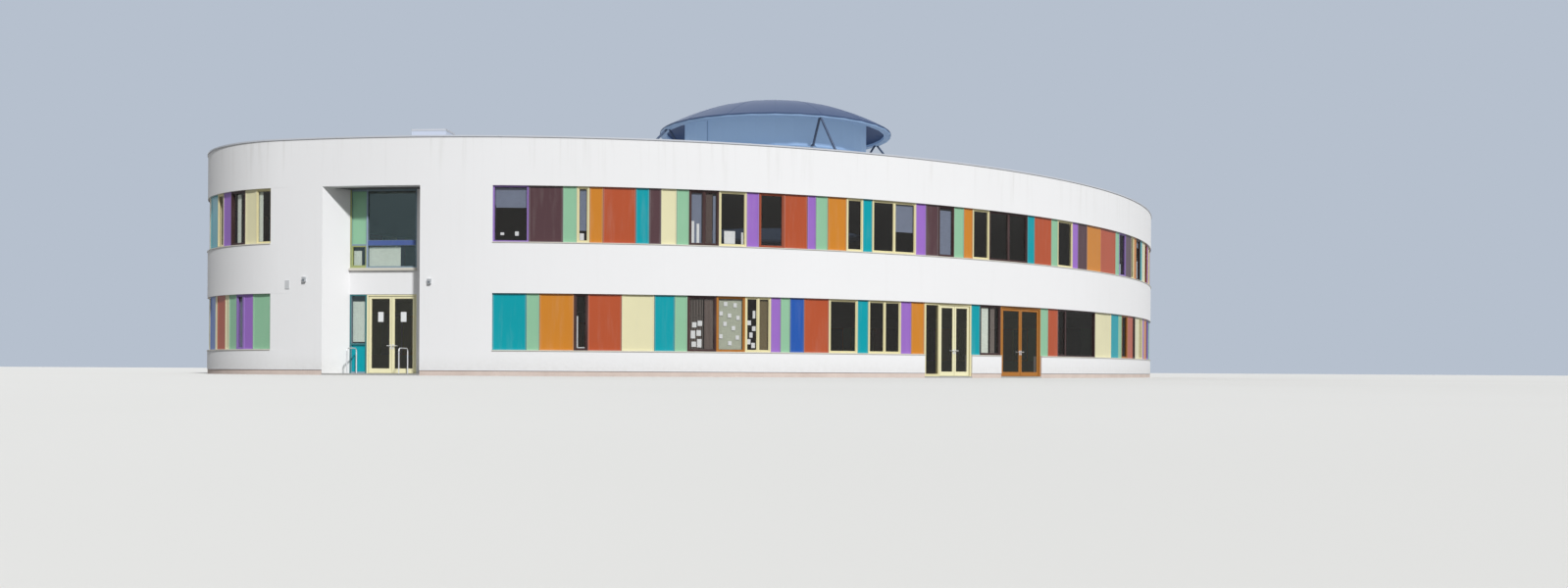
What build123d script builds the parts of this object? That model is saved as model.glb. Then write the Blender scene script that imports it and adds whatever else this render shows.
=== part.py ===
from build123d import *
import math
import os

# Two-storey school building with an oval plan, modelled at half of its real size.
# Lengths are millimetres of the model; a metre on the building is 500 here.
# Origin: centre of the oval on the ground. +X along the oval to the right as seen
# from the entrance side, -Y towards the entrance side, +Z up.

# Plan of the outer wall face: an oval of four arcs
half_length = 12350.0        # centre to the tip of a rounded end
half_width = 7280.0          # centre to the middle of a long side
nose_radius = 3100.0         # radius of a rounded end
wall = 200.0                 # thickness of the outer wall
side_bay = 1150.0            # longest straight inner bay on a long side
nose_bay = 560.0             # longest straight inner bay on a rounded end

# Levels
plinth_height = 92.0
plinth_setback = 8.0
lower_sill = 450.0
lower_head = 1457.0
upper_sill = 2356.0
upper_head = 3352.0
wall_top = 4200.0
ground_top = 30.0
floor_top = 1900.0
floor_depth = 150.0
deck_depth = 180.0

# Coloured bands
panel_setback = 40.0
panel_depth = 60.0
frame_setback = 32.0
frame_depth = 62.0
frame_width = 30.0
glass_setback = 58.0
glass_depth = 12.0

# Entrance recess, measured along the wall face from the middle of the front
recess_run = -11293.5
recess_width = 1827.0
recess_depth = 450.0
recess_splay = 296.0
recess_wall = 100.0
left_pier = 1047.0
right_pier = 1288.0

# Entrance screens, measured from the left edge of the recess
sidelight_width = 325.0
screen_end = 1571.0
screen_setback = 10.0
screen_depth = 60.0
screen_bar = 30.0
sidelight_panel_top = 542.0
sill_height = 44.0
sill_reach = 40.0
casement_height = 405.0
transom_height = 88.0

# Doors
leaf_thick = 26.0
leaf_bar = 38.0
leaf_setback = 12.0
leaf_gap = 6.5               # between the meeting edges of two leaves
pivot_offset = 8.0
pivot_radius = 6.0
pivot_clearance = 0.3
swing_clearance = 5.5
lever_height = 500.0
lever_length = 60.0
lever_radius = 6.0
lever_stand = 24.0
side_glass_width = 300.0
door_frame_width = 45.0

# Lantern over the central court
court_x = 330.0              # centre of the court from the centre of the oval
court_y = -220.0
well_radius = 2150.0
kerb_thick = 200.0
kerb_height = 1670.0
eave_reach = 450.0           # outer face of the kerb to the edge of the rim
rim_level = 5850.0           # top of the rim
rim_depth = 60.0
rim_width = 160.0
crown_rise = 740.0
skin_thick = 24.0
clerestory_inset = 50.0      # inner face of the kerb to the middle of the glass
clerestory_thick = 16.0
lantern_sides = 32           # flat facets round the lantern
crown_tiers = 5              # rows of facets from the glass to the crown
strut_radius = 28.0
strut_frames = 4
strut_bearing = 168.0        # of the first frame, in degrees from +X
strut_seat = 45.0            # middle of a strut from the edge that it stands at
raker_reach = 2100.0         # how far a long strut's foot stands outside its head

# Small pieces
coping_height = 26.0
coping_reach = 14.0
rail_tube = 11.0
rail_bend = 55.0
rail_height = 450.0
rail_length = 360.0
rail_left = 462.0
rail_right = 1436.0
rooflight_length = 640.0
rooflight_width = 460.0
rooflight_top = 4466.0
rooflight_inset = 900.0      # behind the wall face
rooflight_shift = 100.0      # left of the recess's right edge
light_width = 60.0
light_height = 84.0
light_reach = 44.0
light_places = ((-12550.0, 1660.0), (-10200.0, 1615.0))  # run and foot of each wall light

side_radius = ((half_length - nose_radius) ** 2 + half_width ** 2 - nose_radius ** 2) / (
    2 * (half_width - nose_radius)
)
side_turn = math.atan2(half_length - nose_radius, side_radius - half_width)
side_run = side_radius * side_turn
nose_run = nose_radius * (math.pi - 2 * side_turn)
half_run = 2 * side_run + nose_run


def turn_at(run):
    """Angle of the outward normal from -Y at a distance along the wall face."""
    run = (run + half_run) % (2 * half_run) - half_run
    size = abs(run)
    if size <= side_run:
        turn = size / side_radius
    elif size <= side_run + nose_run:
        turn = side_turn + (size - side_run) / nose_radius
    else:
        turn = math.pi - side_turn + (size - side_run - nose_run) / side_radius
    return math.copysign(turn, run)


def plan_point(run, inset):
    """Point at a distance behind the wall face."""
    turn = turn_at(run)
    size = abs(turn)
    if size <= side_turn:
        centre, radius = (0.0, side_radius - half_width), side_radius
    elif size < math.pi - side_turn:
        centre, radius = (math.copysign(half_length - nose_radius, turn), 0.0), nose_radius
    else:
        centre, radius = (0.0, half_width - side_radius), side_radius
    reach = radius - inset
    return (centre[0] + reach * math.sin(turn), centre[1] - reach * math.cos(turn))


def prism(points, low, high):
    return Pos(0, 0, low) * extrude(make_face(Polyline(*points, close=True)), high - low, dir=(0, 0, 1))


def wall_bay(start, end, front, back, low, high):
    """Bay with a curved outer face and a straight inner face."""
    a, b = plan_point(start, front), plan_point(end, front)
    c, d = plan_point(end, back), plan_point(start, back)
    middle = plan_point((start + end) / 2, front)
    edges = [ThreePointArc(a, middle, b), Line(b, c), Line(c, d), Line(d, a)]
    return Pos(0, 0, low) * extrude(make_face(edges), high - low, dir=(0, 0, 1))


def unit(start, end, front, back, low, high):
    """Flat panel between two radial planes."""
    points = [plan_point(start, front), plan_point(end, front)]
    points += [plan_point(end, back), plan_point(start, back)]
    return prism(points, low, high)


def fitting(start, end, reach, low, high):
    """Block on the wall face, curved as the wall is."""
    a, b, c, d = plan_point(start, -reach), plan_point(end, -reach), plan_point(end, 0), plan_point(start, 0)
    middle = (start + end) / 2
    edges = [ThreePointArc(a, plan_point(middle, -reach), b), Line(b, c)]
    edges += [ThreePointArc(c, plan_point(middle, 0), d), Line(d, a)]
    return Pos(0, 0, low) * extrude(make_face(edges), high - low, dir=(0, 0, 1))


def box(x0, x1, y0, y1, z0, z1):
    return Pos(x0, y0, z0) * Box(x1 - x0, y1 - y0, z1 - z0, align=(Align.MIN, Align.MIN, Align.MIN))


def bar(start, end, radius, sides):
    """Straight bar of a few flat sides from one point to another."""
    line = Vector(*end) - Vector(*start)
    return extrude(Plane(origin=start, z_dir=line) * RegularPolygon(radius, sides), line.length, dir=line)


recess_left = recess_run - recess_width / 2
recess_right = recess_run + recess_width / 2
band_end = recess_left - left_pier
band_start = recess_right + right_pier

# Coloured units of the bands: kind, width. A window names the colour of its frame and
# the share of its width at which a mullion stands, if it has one.
upper_right = [
    ("window violet", 626), ("brown", 597), ("mint", 244), ("window cream", 220), ("amber", 238),
    ("terracotta", 578), ("teal", 237), ("brown", 210), ("cream", 280), ("mint", 225),
    ("window brown 0.5", 546), ("window cream", 514), ("violet", 236), ("window terracotta", 480),
    ("terracotta", 460), ("violet", 170), ("mint", 240), ("amber", 389), ("window cream", 350),
    ("teal", 200), ("window cream 0.5", 991), ("violet", 240), ("brown", 305), ("window brown", 396),
    ("mint", 256), ("amber", 237), ("window cream", 463), ("window brown 0.5", 1173), ("teal", 240),
    ("terracotta", 600), ("mint", 240), ("window cream", 600), ("violet", 240), ("brown", 422),
    ("amber", 700), ("terracotta", 892),
]
lower_right = [
    ("teal", 594), ("mint", 228), ("amber", 604), ("window brown", 243), ("terracotta", 593),
    ("cream", 581), ("teal", 362), ("mint", 232), ("window brown", 527), ("window amber", 534),
    ("window cream 0.5", 488), ("violet", 189), ("mint", 184), ("blue", 276), ("terracotta", 500),
    ("window cream", 600), ("teal", 230), ("window cream 0.5", 727), ("violet", 240), ("amber", 311),
    ("door cream", 1197), ("teal", 242), ("window brown", 591), ("door amber", 1290), ("mint", 273),
    ("terracotta", 369), ("window brown 0.2", 1655), ("cream", 922),
]
upper_left = [
    ("teal", 577), ("window cream", 289), ("violet", 289), ("window brown", 436), ("cream", 287),
    ("window cream", 369),
]
lower_left = [
    ("blue", 458), ("cream", 119), ("terracotta", 371), ("cream", 150), ("mint", 254),
    ("window violet", 211), ("violet", 247), ("mint", 436),
]
# What goes on round the hidden sides repeats the same families of units
upper_pattern = [
    ("mint", 240), ("window violet", 480), ("brown", 480), ("window cream", 240), ("amber", 240),
    ("window brown", 480), ("teal", 240), ("cream", 480), ("window terracotta", 480), ("violet", 240),
    ("window cream", 480), ("terracotta", 480), ("blue", 240), ("window brown 0.5", 480), ("cream", 240),
]
lower_pattern = [
    ("teal", 480), ("mint", 240), ("window amber", 480), ("terracotta", 480), ("window brown", 240),
    ("cream", 480), ("window cream 0.5", 480), ("violet", 240), ("amber", 480), ("window violet", 480),
    ("blue", 240), ("mint", 480), ("window brown", 480), ("terracotta", 240), ("window cream", 240),
]


def lay_out(right, pattern, left):
    """Units with their ends along the wall face, right round from pier to pier."""
    units, run = [], band_start
    for kind, width in right:
        units.append((kind, run, run + width))
        run += width
    last = band_end + 2 * half_run - sum(width for kind, width in left)
    length = sum(width for kind, width in pattern)
    copies = max(1, round((last - run) / length))
    stretch = (last - run) / (copies * length)
    for kind, width in pattern * copies:
        units.append((kind, run, run + width * stretch))
        run += width * stretch
    for kind, width in left:
        units.append((kind, run, run + width))
        run += width
    return units


upper_units = lay_out(upper_right, upper_pattern, upper_left)
lower_units = lay_out(lower_right, lower_pattern, lower_left)
doorways = [(kind, start, end) for kind, start, end in lower_units if kind.startswith("door")]


def ring_bays(gaps):
    """Ends of the wall bays right round, leaving out the gaps; an even number between two marks."""
    first = recess_right
    marks = [first, first + 2 * half_run]
    for run in (-side_run, side_run, side_run + nose_run, 2 * half_run - side_run - nose_run):
        marks.append(first + (run - first) % (2 * half_run))
    for gap in gaps:
        marks += [first + (run - first) % (2 * half_run) for run in gap]
    marks.append(first + 2 * half_run - recess_width)
    marks = sorted(set(round(mark, 6) for mark in marks))
    bays = []
    for start, end in zip(marks, marks[1:]):
        if end - start < 1e-3:
            continue
        middle = first + ((start + end) / 2 - first) % (2 * half_run)
        closed = any((middle - gap[0]) % (2 * half_run) < gap[1] - gap[0] for gap in gaps)
        on_nose = side_run < abs((middle + half_run) % (2 * half_run) - half_run) < side_run + nose_run
        count = 2 * math.ceil((end - start) / (2 * (nose_bay if on_nose else side_bay)))
        if closed:
            bays.append((start, end, False))
            continue
        step = (end - start) / count
        bays += [(start + i * step, start + (i + 1) * step, True) for i in range(count)]
    return bays


recess_gap = (recess_left, recess_right)
door_gaps = [(start, end) for kind, start, end in doorways]
base_bays = ring_bays([recess_gap] + door_gaps)
floor_bays = ring_bays([recess_gap])
top_bays = ring_bays([])


def wall_nodes(name, bays, front, low, high):
    """Two nodes that take the bays of a wall course in turn."""
    groups = ([], [])
    turn = 0
    for start, end, solid in bays:
        if solid:
            groups[turn % 2].append(wall_bay(start, end, front, wall, low, high))
            turn += 1
        else:
            turn += turn % 2
    nodes[name + "_a"], nodes[name + "_b"] = groups


nodes = {}
wall_nodes("plinth", base_bays, plinth_setback, 0, plinth_height)
wall_nodes("base_wall", base_bays, 0, plinth_height, lower_sill)
wall_nodes("spandrel", floor_bays, 0, lower_head, upper_sill)
wall_nodes("parapet", top_bays, 0, upper_head, wall_top)

# Bands of coloured panels and windows
panels, frames, glass = {}, {}, {"lower_glass": [], "upper_glass": []}


def add_window(kind, start, end, low, high, pane_list):
    words = kind.split()
    bars = [start + frame_width, end - frame_width]
    if len(words) > 2:
        middle = start + float(words[2]) * (end - start)
        bars = [bars[0], middle - frame_width / 2, middle + frame_width / 2, bars[1]]
    frame = unit(start, end, frame_setback, frame_setback + frame_depth, low, high)
    for left, right in zip(bars[::2], bars[1::2]):
        foot, head = low + frame_width, high - frame_width
        frame -= unit(left, right, -wall, wall, foot, head)
        pane_list.append(unit(left, right, glass_setback, glass_setback + glass_depth, foot, head))
    frames.setdefault(words[1], []).append(frame)


for units, low, high, panes in (
    (upper_units, upper_sill, upper_head, glass["upper_glass"]),
    (lower_units, lower_sill, lower_head, glass["lower_glass"]),
):
    for kind, start, end in units:
        if kind.startswith("window"):
            add_window(kind, start, end, low, high, panes)
        elif not kind.startswith("door"):
            panels.setdefault(kind, []).append(
                unit(start, end, panel_setback, panel_setback + panel_depth, low, high)
            )

# Entrance recess: a plane at its mouth, x along the mouth to the right, y into the building
mouth_a, mouth_b = plan_point(recess_left, 0), plan_point(recess_right, 0)
mouth = math.dist(mouth_a, mouth_b)
mouth_dir = ((mouth_b[0] - mouth_a[0]) / mouth, (mouth_b[1] - mouth_a[1]) / mouth)
recess_plane = Plane(origin=(*mouth_a, 0), x_dir=(*mouth_dir, 0), z_dir=(0, 0, 1))
lean = math.tan((turn_at(recess_right) - turn_at(recess_left)) / 2)


def at_recess(solid):
    return recess_plane.location * solid


def right_edge(depth):
    return (mouth - depth * lean, depth)


def recess_point(x, y):
    return (
        mouth_a[0] + x * mouth_dir[0] - y * mouth_dir[1],
        mouth_a[1] + x * mouth_dir[1] + y * mouth_dir[0],
    )


screen_start = recess_splay
rear = recess_depth + recess_wall
left_back = plan_point(recess_left, wall)
right_back = plan_point(recess_right, wall)
jamb_end = recess_point(*right_edge(rear))
jamb_run = recess_right + recess_wall
jamb_inset = math.dist(jamb_end, mouth_b)


def inner_face_point(start, end, run):
    """Point on the straight inner face of a bay."""
    (x0, y0), (x1, y1) = plan_point(start, wall), plan_point(end, wall)
    share = (run - start) / (end - start)
    return (x0 + share * (x1 - x0), y0 + share * (y1 - y0))


left_jamb = [mouth_a, recess_point(recess_splay, recess_depth), recess_point(recess_splay, rear), left_back]
right_jamb = [right_back, inner_face_point(recess_right, band_start, jamb_run)]
right_jamb += [plan_point(jamb_run, jamb_inset), jamb_end]
nodes["entrance_jambs"] = [prism(left_jamb, 0, upper_head), prism(right_jamb, 0, upper_head)]


def recess_prism(points, low, high):
    return prism([recess_point(*point) for point in points], low, high)


end_strip = [(screen_end, recess_depth), right_edge(recess_depth), right_edge(rear), (screen_end, rear)]
sill_low = floor_top - sill_height / 4
sill_top = sill_low + sill_height
nodes["piers"] = [
    wall_bay(start, end, 0, wall, low, high)
    for start, end in ((band_end, recess_left), (recess_right, band_start))
    for low, high in ((lower_sill, lower_head), (upper_sill, upper_head))
] + [recess_prism(end_strip, ground_top, lower_head), recess_prism(end_strip, sill_low, upper_head)]
nodes["entrance_wall"] = [
    recess_prism(
        [(screen_start, recess_depth), right_edge(recess_depth), right_edge(rear), (screen_start, rear)],
        lower_head, sill_low,
    )
]
nodes["entrance_sill"] = [
    at_recess(box(screen_start, screen_end, recess_depth - sill_reach, rear, sill_low, sill_top))
]

# Upper glazed screen: a narrow column on the left, a wide one on the right
front, back = recess_depth + screen_setback, recess_depth + screen_setback + screen_depth
pane_front = front + screen_depth / 2 - glass_depth / 2
pane_back = pane_front + glass_depth
column = screen_start + sidelight_width
casement_top = sill_top + casement_height
transom_top = casement_top + transom_height
upper_frame = box(screen_start, screen_end, front, back, sill_top, upper_head)
column_left = (screen_start + screen_bar, column - screen_bar / 2)
column_right = (column + screen_bar / 2, screen_end - screen_bar)
upper_lights = [
    (column_left, sill_top + screen_bar, casement_top, "glass"),
    (column_left, casement_top + screen_bar, upper_head - screen_bar, "mint"),
    (column_right, sill_top + screen_bar, casement_top, "glass"),
    (column_right, casement_top + screen_bar / 3, transom_top, "violet"),
    (column_right, transom_top + screen_bar / 3, upper_head - screen_bar, "glass"),
]
entrance_panes = []
for (x0, x1), z0, z1, kind in upper_lights:
    upper_frame -= box(x0, x1, front - wall, back + wall, z0, z1)
    infill = at_recess(box(x0, x1, pane_front, pane_back, z0, z1))
    (entrance_panes if kind == "glass" else panels[kind]).append(infill)
nodes["entrance_upper_frame"] = [at_recess(upper_frame)]

# Sidelight beside the doors: glass over a panel
sidelight = box(screen_start, column, front, back, ground_top, lower_head)
sidelight_lights = [
    (ground_top + screen_bar, sidelight_panel_top, "teal"),
    (sidelight_panel_top + screen_bar, lower_head - screen_bar, "glass"),
]
for z0, z1, kind in sidelight_lights:
    x0, x1 = screen_start + screen_bar, column - screen_bar
    sidelight -= box(x0, x1, front - wall, back + wall, z0, z1)
    infill = at_recess(box(x0, x1, pane_front, pane_back, z0, z1))
    (entrance_panes if kind == "glass" else panels[kind]).append(infill)
nodes["entrance_sidelight_frame"] = [at_recess(sidelight)]
nodes["entrance_glass"] = entrance_panes

# Doors: two leaves that meet in the middle, each on a pivot at its outer edge
side_gap = swing_clearance + (math.sqrt(2) - 1) * pivot_offset


def door_leaf(x0, x1, y0, head, hinge_left):
    """One leaf with its pivots and lever, its pane, and the place of its pivot."""
    low, high = ground_top + swing_clearance, head - swing_clearance
    y1 = y0 + leaf_thick
    leaf = box(x0, x1, y0, y1, low, high)
    hinge_x = x0 + pivot_offset if hinge_left else x1 - pivot_offset
    hinge_y = y1 - pivot_offset
    middle = (y0 + y1) / 2
    pane_size = (x0 + leaf_bar, x1 - leaf_bar, low + 2 * leaf_bar, high - leaf_bar)
    leaf -= box(*pane_size[:2], y0 - wall, y1 + wall, *pane_size[2:])
    pane = box(*pane_size[:2], middle - glass_depth / 2, middle + glass_depth / 2, *pane_size[2:])
    reach = swing_clearance - pivot_clearance
    for z in (low - reach, high):
        leaf += bar((hinge_x, hinge_y, z), (hinge_x, hinge_y, z + reach), pivot_radius, 12)
    lever_x = x1 - leaf_bar / 2 if hinge_left else x0 + leaf_bar / 2
    side = -1 if hinge_left else 1
    lever_z = ground_top + lever_height
    front_y, rear_y = y0 - lever_stand, y1 + lever_stand
    leaf += bar((lever_x, front_y, lever_z), (lever_x, rear_y, lever_z), lever_radius, 8)
    for y in (front_y + lever_radius, rear_y - lever_radius):
        inner_end = lever_x - side * lever_radius
        leaf += bar((inner_end, y, lever_z), (inner_end + side * lever_length, y, lever_z), lever_radius, 8)
    return leaf, pane, (hinge_x, hinge_y)


def leaf_pair(name, location, start, end, y0, head):
    """Left and right leaf in a clear width, each with its frame and glass nodes."""
    middle = (start + end) / 2
    sides = (
        ("left", start + side_gap, middle - leaf_gap / 2),
        ("right", middle + leaf_gap / 2, end - side_gap),
    )
    for side, x0, x1 in sides:
        leaf, pane, hinge = door_leaf(x0, x1, y0, head, side == "left")
        nodes[f"{name}_{side}_leaf"] = [location * leaf]
        nodes[f"{name}_{side}_pane"] = [location * pane]
        place = (location * Pos(hinge[0], hinge[1], 0)).position
        print("pivot", name, side, round(place.X, 3), round(place.Y, 3))


door_head = lower_head - screen_bar
clear_start, clear_end = column + screen_bar, screen_end - screen_bar
nodes["entrance_door_frame"] = [
    at_recess(
        box(column, screen_end, front, back, ground_top, lower_head)
        - box(clear_start, clear_end, front - wall, back + wall, 0, door_head)
    )
]
leaf_pair("entrance", recess_plane.location, clear_start, clear_end, front + leaf_setback, door_head)

# Doorways along the lower band: frame between radial planes, glass beside the leaves
threshold_solids = []
room_panes = []
for kind, start, end in doorways:
    colour = kind.split()[1]
    a, b = plan_point(start, frame_setback), plan_point(end, frame_setback)
    length = math.dist(a, b)
    line = ((b[0] - a[0]) / length, (b[1] - a[1]) / length)
    plane = Plane(origin=(*a, 0), x_dir=(*line, 0), z_dir=(0, 0, 1))
    low, high = ground_top, lower_head
    frame = unit(start, end, frame_setback, frame_setback + frame_depth, low, high)
    left = door_frame_width + (side_glass_width + door_frame_width if colour == "cream" else 0)
    right = length - door_frame_width
    head = high - door_frame_width
    clear = box(left, right, -wall, 2 * wall, 0, head)
    frame -= plane.location * clear
    if colour == "cream":
        x0, x1 = door_frame_width, door_frame_width + side_glass_width
        y0 = glass_setback - frame_setback
        frame -= plane.location * box(x0, x1, -wall, 2 * wall, low + door_frame_width, head)
        room_panes.append(plane.location * box(x0, x1, y0, y0 + glass_depth, low + door_frame_width, head))
    nodes[f"{colour}_door_frame"] = [frame]
    leaf_pair(f"{colour}_door", plane.location, left, right, leaf_setback, head)
    threshold_solids.append(unit(start, end, 0, wall, 0, ground_top))
glass["lower_glass"] += room_panes

for colour, solids in panels.items():
    nodes[f"{colour}_panels"] = solids
for colour, solids in frames.items():
    nodes[f"{colour}_window_frames"] = solids
nodes.update(glass)

# Floors
porch = recess_prism(
    [(0, 0), (mouth, 0), right_edge(rear), (recess_splay, rear), (recess_splay, recess_depth)], 0, ground_top
)
nodes["thresholds"] = [porch] + threshold_solids


def slab_outline(bays, notched):
    points = []
    for start, end, solid in bays:
        points.append(plan_point(start, wall))
    if notched:
        notch = [left_back, recess_point(recess_splay, rear), jamb_end]
        notch += [plan_point(jamb_run, jamb_inset), inner_face_point(recess_right, band_start, jamb_run)]
        notch += [inner_face_point(*bays[0][:2], jamb_run + recess_wall / 2)]
        points = points[1:-1] + notch
    return points


nodes["ground_slab"] = [prism(slab_outline(base_bays, True), 0, ground_top)]
nodes["first_floor"] = [prism(slab_outline(floor_bays, True), floor_top - floor_depth, floor_top)]
deck_top = upper_head + deck_depth
deck = prism(slab_outline(top_bays, False), upper_head, deck_top)


# Thin metal coping on the parapet
def oval_face(inset):
    reach_side, reach_nose = side_radius - inset, nose_radius - inset
    edges = []
    for start, end in (
        (-side_run, side_run), (side_run, side_run + nose_run),
        (side_run + nose_run, 2 * half_run - side_run - nose_run), (-side_run - nose_run, -side_run),
    ):
        middle = plan_point((start + end) / 2, inset)
        edges.append(ThreePointArc(plan_point(start, inset), middle, plan_point(end, inset)))
    return make_face(edges)


coping = extrude(oval_face(-coping_reach) - oval_face(wall + coping_reach), coping_height, dir=(0, 0, 1))
nodes["coping"] = [Pos(0, 0, wall_top) * coping]

# Lantern: kerb, ring of glass, rim and shallow skin, all of flat facets round the court's axis
def court_point(radius, bearing, height):
    return (court_x + radius * math.cos(bearing), court_y + radius * math.sin(bearing), height)


def turned(profile):
    """Ring or cap whose closed profile of radius and height is carried round the court in equal steps."""
    bearings = [2 * math.pi * i / lantern_sides for i in range(lantern_sides)]
    rings = [[court_point(radius, bearing, height) for bearing in bearings] for radius, height in profile]
    faces = []
    for i in range(len(profile)):
        ring, following = rings[i - 1], rings[i]
        if profile[i - 1][0] == profile[i][0] == 0:
            continue
        for j in range(lantern_sides):
            corners = [ring[j - 1], ring[j]] if profile[i - 1][0] else [ring[j]]
            corners += [following[j], following[j - 1]] if profile[i][0] else [following[j]]
            faces.append(Face(Wire(Polyline(*corners, close=True).edges())))
    return Solid(Shell(faces))


def ring(outer, inner, low, high):
    return turned([(inner, low), (outer, low), (outer, high), (inner, high)])


kerb_top = deck_top + kerb_height
kerb_outer = well_radius + kerb_thick
rim_radius = kerb_outer + eave_reach
glass_inner = well_radius + clerestory_inset - clerestory_thick / 2
glass_outer = glass_inner + clerestory_thick
crown_radius = (rim_radius ** 2 + crown_rise ** 2) / (2 * crown_rise)
crown_centre = rim_level + crown_rise - crown_radius


def skin_arc(radius, stops):
    """Points of a face of the skin at the given distances from the axis."""
    return [(stop, crown_centre + math.sqrt(radius ** 2 - stop ** 2)) for stop in stops]


well = [court_point(well_radius, 2 * math.pi * i / lantern_sides, 0)[:2] for i in range(lantern_sides)]
ring_well = prism(well, upper_head - deck_depth, deck_top + deck_depth)
under_radius = crown_radius - skin_thick
eave = math.sqrt(under_radius ** 2 - (rim_level - crown_centre) ** 2)
stops = [glass_inner * i / crown_tiers for i in range(crown_tiers + 1)] + [glass_outer]
under = skin_arc(under_radius, stops + [eave])
over = skin_arc(crown_radius, stops + [rim_radius])
nodes["roof_deck"] = [deck - ring_well]
nodes["lantern_kerb"] = [ring(kerb_outer, well_radius, deck_top, kerb_top)]
glass_profile = [(glass_inner, kerb_top), (glass_outer, kerb_top), under[-2], under[-3]]
nodes["lantern_glass"] = [turned(glass_profile)]
nodes["lantern_rim"] = [ring(rim_radius, rim_radius - rim_width, rim_level - rim_depth, rim_level)]
nodes["lantern_skin"] = [turned(under + over[::-1])]

# Each frame has a long strut from the deck and a short one from the kerb, side by side under the rim
rim_low = rim_level - rim_depth
struts = []
for i in range(strut_frames):
    bearing = math.radians(strut_bearing) + 2 * math.pi * i / strut_frames
    long_head, short_head = rim_radius - strut_seat, rim_radius - rim_width + strut_seat
    for head, foot, level in (
        (long_head, long_head + raker_reach, deck_top), (short_head, kerb_outer - strut_seat, kerb_top),
    ):
        low_end = Vector(*court_point(foot, bearing, level))
        high_end = Vector(*court_point(head, bearing, rim_low))
        spare = (high_end - low_end).normalized() * 2 * strut_radius
        strut = bar(low_end - spare, high_end + spare, strut_radius, 6)
        reach = 2 * half_length
        struts.append(strut & box(-reach, reach, -reach, reach, level, rim_low))
nodes["lantern_struts"] = struts

# Handrails in the recess, each a bent tube; rooflight box behind the parapet; lights on the wall
rails = []
rail_near = (recess_depth - rail_length) / 3
for x in (rail_left, rail_right):
    path = FilletPolyline(
        (x, rail_near, ground_top), (x, rail_near, ground_top + rail_height),
        (x, rail_near + rail_length, ground_top + rail_height), (x, rail_near + rail_length, ground_top),
        radius=rail_bend,
    )
    foot = Plane(origin=(x, rail_near, ground_top), z_dir=(0, 0, 1))
    rails.append(at_recess(sweep(foot * RegularPolygon(rail_tube, 8), path)))
nodes["entrance_rails"] = rails
rooflight_run = recess_right - rooflight_shift
x, y = rooflight_length / 2, rooflight_width / 2
rooflight = box(-x, x, -y, y, deck_top, rooflight_top)
rooflight_turn = math.degrees(turn_at(rooflight_run))
nodes["rooflight_box"] = [
    Pos(*plan_point(rooflight_run, rooflight_inset)) * Rot(0, 0, rooflight_turn) * rooflight
]
nodes["wall_lights"] = [
    fitting(run - light_width / 2, run + light_width / 2, light_reach, low, low + light_height)
    for run, low in light_places
]

os.makedirs("parts", exist_ok=True)
for name, pieces in nodes.items():
    solids = [solid for piece in pieces for solid in piece.solids()]
    export_step(Compound(solids) if len(solids) > 1 else solids[0], f"parts/{name}.step")
print("nodes", len(nodes), "solids", sum(len(pieces) for pieces in nodes.values()))
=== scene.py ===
# %% [markdown]
# # A two-storey school on an oval plan
# The building is a white rendered oval with two bands of coloured panels and windows, a glazed
# entrance set back in a recess, and a shallow dome over the court in the middle. The solids come
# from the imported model, which is half the real size. Here they get their finishes, and the thin
# pieces that a solid model leaves out: trims, sashes, blinds, flashings, seams and door fittings.

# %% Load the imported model
import math

import bpy
import numpy as np
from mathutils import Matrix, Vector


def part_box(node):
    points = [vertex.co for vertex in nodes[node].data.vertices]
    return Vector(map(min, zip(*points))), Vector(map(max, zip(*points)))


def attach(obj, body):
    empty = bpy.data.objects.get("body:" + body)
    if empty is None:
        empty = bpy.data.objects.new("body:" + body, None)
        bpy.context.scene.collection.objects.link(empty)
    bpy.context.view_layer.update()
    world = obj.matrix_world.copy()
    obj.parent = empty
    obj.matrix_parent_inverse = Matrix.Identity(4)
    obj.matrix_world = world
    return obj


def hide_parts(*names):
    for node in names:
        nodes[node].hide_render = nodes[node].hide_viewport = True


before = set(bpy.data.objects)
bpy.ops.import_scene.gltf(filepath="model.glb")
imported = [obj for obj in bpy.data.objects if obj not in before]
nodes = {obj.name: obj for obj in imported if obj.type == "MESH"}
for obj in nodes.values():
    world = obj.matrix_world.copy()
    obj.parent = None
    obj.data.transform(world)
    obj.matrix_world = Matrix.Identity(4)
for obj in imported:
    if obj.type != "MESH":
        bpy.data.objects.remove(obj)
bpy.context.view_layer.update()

# %% [markdown]
# ## The camera
# The photograph was taken from low down, left of the building's long axis, with the lens level
# and shifted up. A level camera keeps the walls upright; a shift moves the horizon down in the
# picture without tilting them. The focal length in pixels and the horizon were measured on the
# photograph, and are turned into a lens and a shift for a frame 36 mm wide.

# %% Camera
PICTURE_WIDTH = 1599
FOCAL_PIXELS = 1300.0
HORIZON_DROP = 78.0        # pixels from the middle of the picture down to the horizon
FRAME_MM = 36.0
LOOK_TURN = math.radians(34.0)     # the lens turns this far from +Y towards +X
ROLL = math.radians(0.33)


def placed(name, data):
    """A new object that holds the data, linked into the scene."""
    made = bpy.data.objects.new(name, data)
    bpy.context.scene.collection.objects.link(made)
    return made


camera = placed("camera", bpy.data.cameras.new("camera"))
camera.location = (-16.83, -26.09, 0.126)
camera.rotation_euler = (math.pi / 2, 0, -LOOK_TURN)
camera.rotation_euler.rotate_axis("Z", ROLL)
camera.data.lens = FOCAL_PIXELS / PICTURE_WIDTH * FRAME_MM
camera.data.sensor_width = FRAME_MM
camera.data.shift_y = HORIZON_DROP / PICTURE_WIDTH
camera.data.clip_end = 500
bpy.context.scene.camera = camera
print("lens", round(camera.data.lens, 2), "mm, shift", round(camera.data.shift_y, 4))

# %% [markdown]
# ## Shader sums written as Python
# A finish is a small graph of nodes. `Wire` holds one output of a node and gives it `+`, `*` and a
# subtraction, so that a mask can be written as a sum. `Finish` makes the material, and its `node`
# method is the one way that any node comes in: a kind, its settings and its inputs.

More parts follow.
